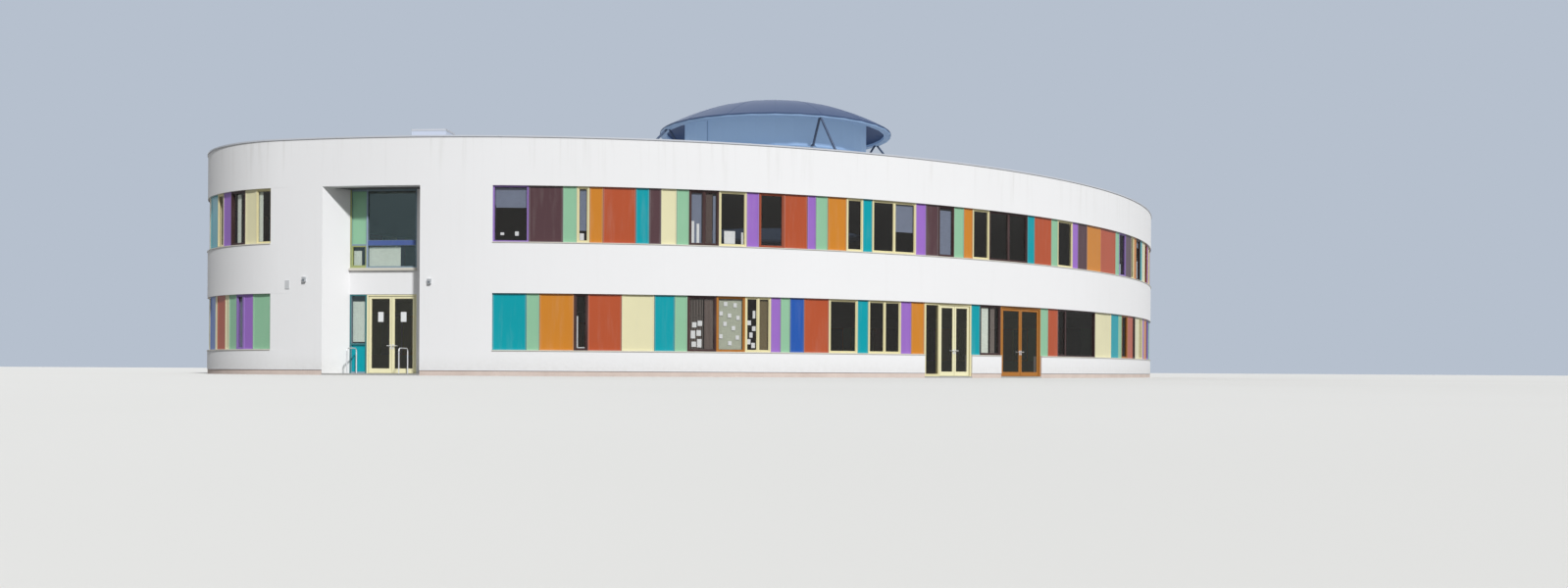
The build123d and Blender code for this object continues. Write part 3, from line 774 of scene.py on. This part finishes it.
seals = []
for colour in window_frames:
    opening, fixed = panes_of(colour, wide=False), panes_of(colour, wide=True)
    make_piece(colour + "_sashes", [around(*opening, sash_section)], frame_paint[colour])
    seals.append(around(*opening, seal_section + [SASH, 0.0]))
    if len(fixed[1]):
        seals.append(around(*fixed, seal_section))
make_piece("glazing_seals", seals, seal_finish)
print("sashes", {name: count for name, count in made_pieces.items() if name.endswith("_sashes")})

# %% [markdown]
# ## Blinds and papers behind the glass
# Rooms in use have blinds at different heights and sheets of paper on the panes. Those of the
# front are placed one by one, as shares of the width and the height of their pane, a little way
# behind its glass. The sheets are blank.

# %% Cloth, paper and places behind a pane
SEAL_WIDE, SEAL_HIGH = 0.004, 0.003
FRONT_PANES = {
    "violet": ("upper", -8.78), "narrow": ("upper", -7.515), "left": ("upper", -5.49),
    "right": ("upper", -5.23), "cream": ("upper", -4.83), "far left": ("upper", -14.13),
    "end": ("upper", -13.44), "half": ("upper", -1.32), "blue": ("upper", -0.32),
    "slim": ("lower", -7.545), "slats": ("lower", -5.39), "amber": ("lower", -4.86),
    "checked": ("lower", -4.465), "side": ("lower", -4.235), "low left": ("lower", -14.04),
    "mixed": ("lower", 0.88),
}


def behind(pane, boxes, front, back):
    """Plates behind a front pane: rows of left, right, bottom and top as shares of it, clear of its seal."""
    storey, run = FRONT_PANES[pane]
    row = panes[storey][:, np.argmin(np.abs(panes[storey][:2].mean(axis=0) - run))]
    start, end, low, high = row[[0, 1, 4, 5]] + [SEAL_WIDE, -SEAL_WIDE, SEAL_HIGH, -SEAL_HIGH]
    left, right, bottom, top = np.array(boxes, float).reshape(-1, 4).T
    across, up = end - start, high - low
    sizes = start + left * across, start + right * across, low + bottom * up, low + top * up
    return plates(unit_point(start, end), *sizes, front, back, 0.0008)


def cloth_finish(name, colour):
    """Blind cloth: fine upright and level threads, with soft creases."""
    finish = Finish(name)
    upright = finish.noise(160.0, 2.0, (1.0, 1.0, 0.05))
    level = finish.noise(160.0, 2.0, (0.05, 0.05, 1.0))
    base = finish.mix((upright * 0.5 + level * 0.5).step(0.35, 0.65), colour, shade(colour, 0.8))
    normal = finish.bump(upright + level, 0.0006, 0.4)
    return finish.show(Base_Color=base, Roughness=0.85, Sheen_Weight=0.2, Normal=normal)


def paper_finish():
    """Plain paper: almost white, with a faint cloud of its fibres."""
    finish = Finish("blank_paper")
    fibre = finish.noise(60.0, 4.0)
    base = finish.mix(fibre, paint(240, 242, 243), paint(222, 224, 224))
    return finish.show(Base_Color=base, Roughness=0.7, Normal=finish.bump(fibre, 0.0005, 0.3))


paper = paper_finish()
pale_blind = cloth_finish("pale_blind_cloth", paint(122, 132, 154))
green_blind = cloth_finish("sage_blind_cloth", paint(186, 192, 172))
# Sage cloth: curtains at the far left, and painted reflection behind the entrance screens.
sage_cloth_and_reflection = cloth_finish("sage_screen_cloth", paint(232, 242, 228))
brown_blind = cloth_finish("brown_blind_cloth", paint(84, 66, 60))
olive_blind = cloth_finish("olive_blind_cloth", paint(112, 98, 66))
dark_blind = cloth_finish("dim_out_cloth", paint(58, 62, 68))
slat_paint = paint_finish("slat_paint", paint(150, 138, 130), 0.5, 0.001)
print("panes with something behind them", len(FRONT_PANES))

# %% [markdown]
# Each piece below is a list of rows: a pane, the boxes in it, and the depths of front and back.

# %% Blinds of the front
def slats(first, last, count, width, bottom, top):
    """Boxes of upright slats of one width, spread evenly from the first to the last."""
    left = np.linspace(first, last, count)
    return stacked(left, left + width, bottom, top)


def hang(name, finish, rows):
    """One piece from rows of a pane, its boxes, their front and their back."""
    make_piece(name, [behind(*row) for row in rows], finish)


hang("front_pale_blinds", pale_blind, [
    ("violet", (0.02, 0.98, 0.62, 1.0), 0.078, 0.081),
    ("narrow", (0.05, 0.95, 0.66, 1.0), 0.078, 0.081),
    ("left", (0.03, 0.97, 0.0, 1.0), 0.084, 0.087),
    ("right", (0.68, 0.94, 0.0, 0.94), 0.080, 0.083),
    ("low left", (0.10, 0.90, 0.0, 0.96), 0.080, 0.083),
    ("half", (0.02, 0.98, 0.42, 1.0), 0.078, 0.081),
    ("blue", (0.02, 0.98, 0.0, 0.94), 0.078, 0.081),
])
hang("pale_curtains", sage_cloth_and_reflection, [
    ("far left", (0.30, 0.60, 0.0, 0.97), 0.078, 0.081),
    ("end", (0.0, 0.30, 0.0, 1.0), 0.078, 0.081),
    ("mixed", (0.04, 0.46, 0.0, 1.0), 0.078, 0.081),
])
hang("sage_blind", green_blind, [("amber", (0.0, 1.0, 0.0, 1.0), 0.084, 0.087)])
hang("brown_blinds", brown_blind, [
    ("right", (0.0, 0.62, 0.0, 1.0), 0.078, 0.081),
    ("slats", (0.60, 1.0, 0.0, 1.0), 0.080, 0.084),
])
hang("upright_slats", slat_paint, [
    ("mixed", slats(0.58, 0.78, 5, 0.032, 0.0, 0.98), 0.080, 0.083),
    ("slats", slats(0.04, 0.52, 9, 0.020, 0.0, 1.0), 0.080, 0.083),
    ("slats", slats(0.64, 0.94, 7, 0.012, 0.02, 0.98), 0.0775, 0.080),
])
hang("olive_blinds", olive_blind, [("side", (0.0, 1.0, 0.0, 1.0), 0.082, 0.085)])
print("faces of the upright slats", made_pieces["upright_slats"])

# %% [markdown]
# The papers hang close behind the glass. The amber pane has ten small ones in a loose scatter.

# %% Papers of the front
x, y = np.array([
    (0.10, 0.26), (0.46, 0.13), (0.76, 0.24), (0.60, 0.42), (0.26, 0.50), (0.10, 0.70), (0.44, 0.66),
    (0.78, 0.62), (0.66, 0.86), (0.28, 0.88),
]).T
scatter = stacked(x - 0.045, x + 0.095, y - 0.03375, y + 0.0475)
hang("papers", paper, [
    ("slats", [(0.10, 0.28, 0.06, 0.16), (0.32, 0.50, 0.05, 0.21), (0.07, 0.25, 0.22, 0.37),
               (0.30, 0.48, 0.27, 0.38), (0.12, 0.30, 0.43, 0.53), (0.34, 0.52, 0.46, 0.56)], 0.0725, 0.0735),
    ("amber", scatter, 0.0725, 0.0735),
    ("checked", [(0.05, 0.42, 0.12, 0.22), (0.50, 0.86, 0.05, 0.15), (0.30, 0.62, 0.25, 0.35),
                 (0.56, 0.94, 0.38, 0.47), (0.08, 0.46, 0.49, 0.58), (0.62, 0.88, 0.62, 0.77)],
     0.0725, 0.0735),
    ("left", [(0.08, 0.30, 0.0, 0.44), (0.50, 0.72, 0.0, 0.39)], 0.0735, 0.0745),
    ("violet", [(0.16, 0.28, 0.10, 0.15), (0.62, 0.74, 0.09, 0.17)], 0.0735, 0.0745),
    ("narrow", (0.06, 0.60, 0.0, 0.15), 0.0735, 0.0745),
    ("slim", [(0.02, 0.20, 0.02, 0.62), (0.02, 0.96, 0.0, 0.035)], 0.0735, 0.0760),
    ("cream", [(0.16, 0.62, 0.02, 0.27), (0.88, 0.96, 0.0, 0.25)], 0.0770, 0.0800),
])
print("small papers", len(scatter), "faces of all papers", made_pieces["papers"])

# %% [markdown]
# On the sides that the photograph doesn't show, dim-out blinds close the panes of the far side, and
# a seeded draw gives four panes in ten of the others a roller blind at one of four drops.

# %% Blinds on the other sides
FAR_RUN, NEAR_RUN, SHOWN_END, ABOVE_DOORS = 15.0, 6.0, -9.2, 0.4


def drawn(chosen, drop, inset, rail=True):
    """Roller blinds: a sheet from the head of each pane down by a share of its height, and a rail."""
    start, end, front, back, low, high = chosen
    sides, head = (unit_point(start, end), start + SEAL_WIDE, end - SEAL_WIDE), high - SEAL_HIGH
    foot = head - drop * (high - low - 2 * SEAL_HIGH)
    shapes = [plates(*sides, foot, head, inset, inset + 0.003, 0.0008)]
    return shapes + [plates(*sides, foot, foot + 0.008, inset - 0.002, inset + 0.005, 0.001)] * rail


rng = np.random.default_rng(7)
dark_shapes, pale_shapes = [], []
for pane_units in panes.values():
    middle = pane_units[:2].mean(axis=0)
    window = pane_units[4] > ABOVE_DOORS
    away = pane_units[:, (np.abs(middle) > FAR_RUN) & window]
    dark_shapes += drawn(away, 1.0, 0.0860, rail=False)
    some = pane_units[:, (np.abs(middle) > NEAR_RUN) & (middle > SHOWN_END) & window]
    some = some[:, rng.random(some.shape[1]) < 0.40]
    pale_shapes += drawn(some, rng.choice([0.18, 0.34, 0.5, 0.8], some.shape[1]), 0.0780)
make_piece("dim_out_blinds", dark_shapes, dark_blind)
make_piece("part_drawn_blinds", pale_shapes, pale_blind)
print("faces of the blinds", made_pieces["dim_out_blinds"], "and", made_pieces["part_drawn_blinds"])

# %% [markdown]
# ## Roof edge, wall edges and roof sheet
# The metal coping comes in lengths with a cover strip over each joint. A thin bead closes the
# render above the plinth, and stops at the recess and at the doors.

# %% Coping strips and render bead
WALL_THICK, COVER_HALF, JOINT_STEP = 0.200, 0.022, 1.48
RECESS_LEFT, RECESS_RIGHT = -12.207, -10.380
joints = np.arange(-29.8, 30.6, JOINT_STEP) + 0.11
inside = WALL_THICK + 0.0155
cover_insets = [-0.0155, -0.0135, -0.0135, inside - 0.002, inside - 0.002, inside, inside, -0.0155]
cover_heights = [4.204, 4.204, 4.2255, 4.2255, 4.204, 4.204, 4.2280, 4.2280]
covers = carried(wall_point, stacked(joints - COVER_HALF, joints + COVER_HALF), cover_insets, cover_heights)
make_piece("coping_joint_covers", [covers], coping_metal)

bead_insets = [-0.0035, 0.001, 0.001, -0.0035]
bead_heights = [0.0915, 0.0900, 0.0960, 0.0945]
wall_runs = [(RECESS_RIGHT, -0.849), (0.348, 1.181), (2.471, 2 * half_run + RECESS_LEFT)]
beads = [along_wall(a + 0.002, b - 0.002, bead_insets, bead_heights) for a, b in wall_runs]
make_piece("render_bead", beads, coping_metal)
print("coping joints", len(joints))

# %% [markdown]
# On the roof, the sheet is laid in strips with welded laps, and its edge runs up the parapet to a
# clamping bar. The half width of the roof at x is the root of the side arc's radius squared less x
# squared, less the arc's centre. The laps stop at the kerb of the court and at the rooflight box.

# %% Roof sheet laps and upstand
DECK, COURT_X, COURT_Y, KERB_REACH, LAP_STEP, SHEET_EDGE = 3.532, 0.33, -0.22, 2.42, 1.05, 0.215
BOX_LEFT, BOX_RIGHT, BOX_BACK = -9.75, -8.5, -2.6
lap_x = np.arange(-10.5, 10.6, LAP_STEP) + 0.17
reach = np.sqrt((side_radius - SHEET_EDGE) ** 2 - lap_x ** 2) - side_centre
cut = np.sqrt(np.clip(KERB_REACH ** 2 - (lap_x - COURT_X) ** 2, 0, None))
crossing = cut > 0
lap_start = np.concatenate([-reach, (COURT_Y + cut)[crossing]])
lap_end = np.concatenate([np.where(crossing, COURT_Y - cut, reach), reach[crossing]])
lap_at = np.concatenate([lap_x, lap_x[crossing]])
clear_of_box = ~((lap_at > BOX_LEFT) & (lap_at < BOX_RIGHT) & (lap_start < BOX_BACK))
lap_start, lap_end, lap_at = (values[clear_of_box] for values in (lap_start, lap_end, lap_at))
lap_profile_x = lap_at[:, None] + [-0.045, 0.045, 0.045, 0.042, -0.042, -0.045]
lap_profile_z = DECK + np.array([-0.001, -0.001, 0.001, 0.003, 0.003, 0.001])
across_roof = lambda along, x, height: stacked(x, along, height)
laps = carried(across_roof, stacked(lap_start, lap_end), lap_profile_x, lap_profile_z)
make_piece("roof_sheet_laps", [laps], roof_sheet)
for name, thick, heights, finish, slot in (
    ("roof_upstand", 0.016, [0.0, 0.0, 0.2, 0.2], roof_sheet, "concrete"),
    ("upstand_clamp_bar", 0.021, [0.190, 0.192, 0.206, 0.208], coping_metal, "metal_trim"),
):
    insets = WALL_THICK + np.array([-0.001, thick, thick, -0.001])
    strip = along_wall(-half_run, half_run - 0.001, insets, DECK + np.array(heights), 0.2)
    make_piece(name, [strip], finish)
print("roof laps", len(lap_at))

# %% [markdown]
# ## The dome over the court
# The dome is a shallow cap of a sphere on a rim that oversails a ring of glass. The solid model
# has it in flat facets; here it is one smooth surface with the same thickness. A point on a sphere
# of radius r at the distance d from the axis lies the square root of r squared less d squared
# above the centre. Slim clamping ribs run up it.

# %% Smooth cap
RIM_REACH, RIM_TOP, CROWN, SKIN = 2.800, 5.850, 6.590, 0.024
AROUND, TIERS, RIBS = 96, 20, 16
crown_radius = (RIM_REACH ** 2 + (CROWN - RIM_TOP) ** 2) / (2 * (CROWN - RIM_TOP))
crown_centre = CROWN - crown_radius


def court_point(away, aside, bearing, height):
    """x, y, z of a place away from the axis of the court along a bearing, and aside across it."""
    x = COURT_X + away * np.cos(bearing) - aside * np.sin(bearing)
    return stacked(x, COURT_Y + away * np.sin(bearing) + aside * np.cos(bearing), height)


def cap_point(away, aside, bearing, lift):
    """On the cap: away from the axis along the bearing, aside across it, and lifted off the surface."""
    height = crown_centre + np.sqrt((crown_radius + lift) ** 2 - away ** 2 - aside ** 2)
    return court_point(away, aside, bearing, height)


ring = np.arange(AROUND)
after = (ring + 1) % AROUND
bearing = ring * 2 * math.pi / AROUND
away = RIM_REACH * np.linspace(0, 1, TIERS + 1)[1:]
outer = cap_point(away[:, None], 0.0, bearing[None], 0.0)
inner = cap_point(away[::-1, None], 0.0, bearing[None], -SKIN)
poles = cap_point(np.zeros(2), 0.0, 0.0, np.array([0.0, -SKIN]))
cap = np.concatenate([outer.reshape(-1, 3), inner.reshape(-1, 3), poles])[None]
last, pole = (2 * TIERS - 1) * AROUND, 2 * TIERS * AROUND
fans = stacked(pole, after, ring), stacked(pole + 1, last + ring, last + after)
cap_faces = [ring_faces(2 * TIERS, AROUND), *fans]
dome = make_piece("smooth_dome", [(cap, cap_faces)], dome_skin, smooth=True)
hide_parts("lantern_skin")

rib_bearing = (np.arange(RIBS) + 0.5) * 2 * math.pi / RIBS
away = np.linspace(0.36, RIM_REACH - 0.02, TIERS)
rib_aside = np.array([-0.016, 0.016, 0.012, -0.012])
rib_lift = np.array([-0.003, -0.003, 0.0035, 0.0035])
ribs = carried(lambda away, aside, lift: cap_point(away, aside, rib_bearing[:, None, None], lift),
               np.tile(away, (RIBS, 1)), rib_aside, rib_lift)
make_piece("dome_ribs", [ribs], dome_skin)
print("radius of the dome", round(crown_radius, 3), "centre at", round(crown_centre, 3))

# %% [markdown]
# An upright bar stands at the first corner of the ring of glass. A folded cap lies on the kerb, and
# each strut has a round shoe where it lands on the deck or on the kerb.

# %% Glass bar, kerb cap and strut shoes
KERB_TOP, BAR_REACH = 5.202, 2.228
FOOT_BAND = 0.06       # the corners this far up from a strut's lowest one are its foot
DECK_BELOW = 4.5       # a foot below this level stands on the deck, one above it on the kerb


def turned(centres, radii, heights, sides=24, first=0.0):
    """Closed rings: a section of radii and heights carried round upright axes at the centres."""
    centres, heights = np.atleast_2d(centres), np.atleast_2d(heights)
    bearings = first + np.arange(sides) * 2 * math.pi / sides
    x = centres[:, 0, None, None] + radii * np.cos(bearings)[None, :, None]
    y = centres[:, 1, None, None] + radii * np.sin(bearings)[None, :, None]
    return rings(stacked(x, y, heights[:, None]), closed=True)


glass_points = np.concatenate(separate_solids("lantern_glass")) - [COURT_X, COURT_Y, 0]
glass_reach = np.hypot(glass_points[:, 0], glass_points[:, 1])
outer_corners = glass_points[glass_reach > glass_reach.max() - 0.002]
facet_bearings = np.unique(np.round(np.arctan2(outer_corners[:, 1], outer_corners[:, 0]), 4))
head = crown_centre + math.sqrt((crown_radius - SKIN) ** 2 - (BAR_REACH + 0.004) ** 2) - 0.003
at_bar = lambda along, inset, height: court_point(BAR_REACH - inset, along, facet_bearings[0], height)
upright = bars(at_bar, -0.010, 0.010, 0.0, 0.026, KERB_TOP, head, 0.002)
make_piece("lantern_glass_bars", [upright], rim_paint)
cap_radii = np.array([2.135, 2.365, 2.365, 2.358, 2.358, 2.135])
cap_heights = [5.203, 5.203, 5.180, 5.180, 5.213, 5.216]
cap_ring = turned([COURT_X, COURT_Y], cap_radii, cap_heights, 32, float(facet_bearings[0]))
make_piece("kerb_cap", [cap_ring], rim_paint)
struts = separate_solids("lantern_struts")
feet = np.array([points[points[:, 2] < points[:, 2].min() + FOOT_BAND].mean(axis=0) for points in struts])
floors = np.where(feet[:, 2] < DECK_BELOW, DECK, KERB_TOP + 0.010)
shoe_radii = np.array([0.020, 0.075, 0.075, 0.045, 0.040, 0.020])
shoe = turned(feet[:, :2], shoe_radii, floors[:, None] + [0.0, 0.0, 0.010, 0.014, 0.045, 0.045])
make_piece("strut_shoes", [shoe], lantern_paint)
print("corners of the ring of glass", len(facet_bearings), "shoes", len(feet))

# %% [markdown]
# The rooflight is a low box near the parapet. Each of its four sides is a flat place, a quarter turn
# on from the last, with a trim at the head and a flashing at the foot.

# %% Rooflight trim
ROOFLIGHT_RUN, ROOFLIGHT_TOP = -10.48, 4.466
box_middle = wall_point(ROOFLIGHT_RUN, 0.9, 0.0)[:2]
box_turn = float(wall_turn(ROOFLIGHT_RUN))
box_sides = []
for quarter in (0, 2, 1, 3):
    half_side, half_other = (0.23, 0.32) if quarter % 2 else (0.32, 0.23)
    bearing = box_turn + quarter * math.pi / 2
    line = np.array([math.cos(bearing), math.sin(bearing)])
    origin = box_middle - half_other * np.array([-line[1], line[0]])
    side = flat_place(origin, origin + line)
    for past, low, high in ((0.004, 4.43, ROOFLIGHT_TOP), (0.006, DECK, DECK + 0.15)):
        reach = half_side + past
        box_sides.append(bars(side, -reach, reach, -past, 0.001, low, high, 0.001))
make_piece("rooflight_trim", box_sides, coping_metal)
print("rooflight stands", round(ROOFLIGHT_TOP - DECK, 3), "m above the roof")

# %% [markdown]
# ## The entrance
# The recess is set out from the left end of its mouth: along the mouth to the right, and straight
# into the building. Every piece of the screens has its start, end, low and high there, and its
# depth is counted from the face of the screens.

# %% Seals, caps and sash of the screens
SCREEN_FRONT = 0.460
in_recess = flat_place(wall_point(RECESS_LEFT, 0.0, 0.0), wall_point(RECESS_RIGHT, 0.0, 0.0))
lights = np.array([
    (0.326, 0.606, 1.963, 2.338), (0.636, 1.541, 1.963, 2.338), (0.636, 1.541, 2.436, 3.322),
    (0.326, 0.591, 0.572, 1.427),
])
screen_seals = around(in_recess, *lights.T, seal_section + [0.0, SCREEN_FRONT - 0.0345])
make_piece("screen_seals", [screen_seals], seal_finish)


def on_screen(rows, front=-0.004, back=0.001, edge=0.002):
    """Plates on the screens: rows of start, end, low and high."""
    return plates(in_recess, *np.array(rows).T, SCREEN_FRONT + front, SCREEN_FRONT + back, edge)


casement_section = [
    (-0.001, 0.0245), (-0.001, 0.007), (0.002, 0.004), (0.020, 0.004), (0.022, 0.007), (0.022, 0.0245),
]
casement = around(in_recess, *lights[0], np.array(casement_section) + [0.0, SCREEN_FRONT])
left_caps = on_screen([(0.298, 0.324, 1.935, 3.350), (0.326, 0.604, 1.935, 1.961)])
mullion = on_screen([(0.608, 0.634, 1.935, 3.350)], -0.006)
right_caps = on_screen([(0.638, 1.569, 1.935, 1.961), (1.543, 1.569, 1.963, 3.350)])
transom = on_screen([(0.638, 1.540, 2.342, 2.432)], -0.003, 0.030)
low_caps = on_screen([
    (0.298, 0.324, 0.032, 1.455), (0.593, 0.619, 0.032, 1.455), (0.326, 0.591, 1.429, 1.455),
    (0.326, 0.591, 0.544, 0.570),
])
# Painted reflection: pale sage sheets behind the screen glass stand in for the sunlit left reveal mirrored in
# the panes.
reflection_sheets = on_screen([
    (0.336, 0.582, 0.600, 1.330), (0.350, 0.500, 1.985, 2.250), (0.640, 1.240, 1.967, 2.320),
], 0.044, 0.047, 0.0008)
# Painted shade: the casement and the left caps are cream frames given the olive-lime that cream shows in
# shadow.
shaded_cream_paint = paint_finish("casement_paint", paint(170, 178, 116), 0.38)
pale_blue_paint = paint_finish("mullion_paint", paint(158, 176, 200), 0.38)
indigo_paint = paint_finish("transom_paint", paint(84, 104, 162), 0.38)
teal_dark_paint = paint_finish("sidelight_frame_paint", paint(58, 122, 126), 0.38)
make_piece("casement_and_jamb_caps", [casement, left_caps], shaded_cream_paint)
make_piece("mullion_cap", [mullion], pale_blue_paint)
make_piece("screen_caps", [right_caps], screen_paint)
make_piece("transom_plate", [transom], indigo_paint)
make_piece("sidelight_caps", [low_caps], teal_dark_paint)
make_piece("screen_sheets", [reflection_sheets], sage_cloth_and_reflection)
print("lights with a seal", len(lights))

# %% [markdown]
# Each doorway has a flat place of its own. Two leaves share its clear width, with a gap at each side
# and one between them. What belongs to a leaf rides on that leaf's body, so it swings with it. The
# printed line compares each leaf with the box of the model's leaf.

# %% Doors set out in their clear widths
SWING_GAP, LEAF_GAP, PIVOT_INSET = 0.0055, 0.0065, 0.008
SIDE_GAP = SWING_GAP + (math.sqrt(2) - 1) * PIVOT_INSET     # room for the corner that swings outwards
LEAF_THICK, LEAF_BAR, DOOR_FLOOR, LEVER_HEIGHT, FRAME_BAR = 0.026, 0.038, 0.0355, 0.530, 0.045


def doorway(start, end):
    """The flat place of a doorway in the band and its length, from its two runs along the wall."""
    a, b = wall_point(start, 0.032, 0.0), wall_point(end, 0.032, 0.0)
    return flat_place(a, b), float(np.hypot(*(b - a)[:2]))


cream_place, cream_length = doorway(-0.849, 0.348)
amber_place, amber_length = doorway(1.181, 2.471)
doors = {}
for name, place, left, right, front, head in (
    ("entrance", in_recess, 0.651, 1.541, SCREEN_FRONT + 0.012, 1.427),
    ("cream_door", cream_place, 0.390, cream_length - FRAME_BAR, 0.012, 1.412),
    ("amber_door", amber_place, FRAME_BAR, amber_length - FRAME_BAR, 0.012, 1.412),
):
    middle, head = (left + right) / 2, head - SWING_GAP
    doors[name + "_left"] = (place, left + SIDE_GAP, middle - LEAF_GAP / 2, front, head, -1)
    doors[name + "_right"] = (place, middle + LEAF_GAP / 2, right - SIDE_GAP, front, head, 1)
for body, (place, x0, x1, front, head, side) in doors.items():
    low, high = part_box(body + "_leaf")
    corner = place(np.array([x0, x1]), front, 0.0)
    off = np.abs(np.array([corner[:, 0].min(), corner[:, 0].max()]) - [low[0], high[0]]).max()
    print(body, "width", round(x1 - x0, 4), "corner off the model's box by", round(float(off), 4))

# %% [markdown]
# A leaf has glazing beads on both faces, a drip strip at its foot, a back plate behind each lever
# and a sleeve of steel over the lever itself. The sleeve is a round section swept along a level path:
# at each point of the path the ring is square to the halved turn, and is stretched there so that
# the tube keeps its width round the corner.

# %% Beads, plates and levers of a leaf
BEND, LEVER_REACH, LEVER_LENGTH, LEVER_RADIUS = 0.007, 0.018, 0.0665, 0.0066
BEAD = np.array([(-0.001, 0.0075), (-0.001, 0.001), (0.002, 0.001), (0.008, 0.0075)])


def swept_tube(path, radius, sides=12):
    """Round tube along a level path (points, 3): rings of cos and sin on the mitre and the upright."""
    step = np.diff(path, axis=0)
    step = step / np.linalg.norm(step, axis=-1, keepdims=True)
    before, after = np.concatenate([step[:1], step]), np.concatenate([step, step[-1:]])
    way = (before + after) / np.linalg.norm(before + after, axis=-1, keepdims=True)
    stretch = 1 / np.maximum((way * after).sum(axis=-1), 0.5)
    across = stacked(-way[:, 1], way[:, 0], 0.0) * stretch[:, None]
    angle = (np.arange(sides) * 2 * math.pi / sides)[:, None]
    ring = across[:, None] * np.cos(angle) + np.array([0.0, 0.0, 1.0]) * np.sin(angle)
    return rings((path[:, None] + radius * ring)[None])


def lever_path(place, x, face, outward, side):
    """From the leaf's face out to the lever, round a small bend and along it."""
    turn = np.linspace(0, math.pi / 2, 6)
    along = np.concatenate([[0.0], BEND * (1 - np.cos(turn)), [LEVER_LENGTH]]) * side
    depth = np.concatenate([[-0.001], LEVER_REACH - BEND + BEND * np.sin(turn), [LEVER_REACH]]) * outward
    return place(x + along, face + depth, LEVER_HEIGHT)


for body, (place, x0, x1, front, head, side) in doors.items():
    finish, slot = (frame_paint["amber"], "amber") if body.startswith("amber") else (door_paint, "cream")
    opening = x0 + LEAF_BAR, x1 - LEAF_BAR, DOOR_FLOOR + 2 * LEAF_BAR, head - LEAF_BAR
    handle = x0 + LEAF_BAR / 2 if side > 0 else x1 - LEAF_BAR / 2
    back_plate = handle - 0.013, handle + 0.013, LEVER_HEIGHT - 0.062, LEVER_HEIGHT + 0.028
    beads, hardware = [], []
    for face, inward in ((front, 1), (front + LEAF_THICK, -1)):
        beads.append(around(place, *opening, BEAD * [1, inward] + [0, face]))
        hardware += [
            plates(place, *back_plate, face - 0.0025 * inward, face + 0.001 * inward, 0.0010 * inward),
            swept_tube(lever_path(place, handle, face, -inward, side), LEVER_RADIUS),
        ]
    drip = plates(place, x0 + 0.004, x1 - 0.004, 0.0375, 0.0500, front - 0.0020, front + 0.001, 0.0009)
    make_piece(body + "_beads", [*beads, drip], finish, body)
    make_piece(body + "_fittings", hardware, steel, body)
print("leaves dressed", len(doors))

# %% [markdown]
# ## Small things on the walls
# Two blank notices hang on the entrance leaves. Two fittings on the piers have a lens, and a bare
# plate sits beside one of them.

# %% Notices, lenses and the bare plate
place, _, _, front, _, _ = doors["entrance_left"]
for leaf, start, end in (("left", 0.831, 0.933), ("right", 1.262, 1.368)):
    notice = plates(place, start, end, 0.962, 1.140, front + 0.0055, front + 0.0075, 0.0006)
    make_piece(leaf + "_notice", [notice], paper, "entrance_" + leaf)
lens_paint = paint_finish("lens_paint", paint(120, 126, 132), 0.2, 0.0005)
run, foot = np.array([(-12.550, 1.660), (-10.200, 1.615)]).T
lens = plates(wall_point, run - 0.021, run + 0.021, foot + 0.010, foot + 0.046, -0.0465, -0.0430, 0.0015)
hood = plates(wall_point, run - 0.033, run + 0.033, foot + 0.060, foot + 0.0865, -0.0480, 0.0010, 0.0020)
make_piece("lamp_lenses", [lens], lens_paint)
make_piece("lamp_hoods", [hood], light_paint)
plate_paint = paint_finish("bare_plate_paint", paint(206, 208, 210), 0.45, 0.0005)
plate = plates(wall_point, -12.944, -12.856, 1.533, 1.691, -0.010, 0.001, 0.003)
make_piece("bare_plate", [plate], plate_paint)
print("fittings with a lens", len(run))

# %% [markdown]
# ## Measures and the end
# The last line prints the number of pieces made and their faces.

# %% Sizes
print("pieces made", len(made_pieces), "with faces", sum(made_pieces.values()))
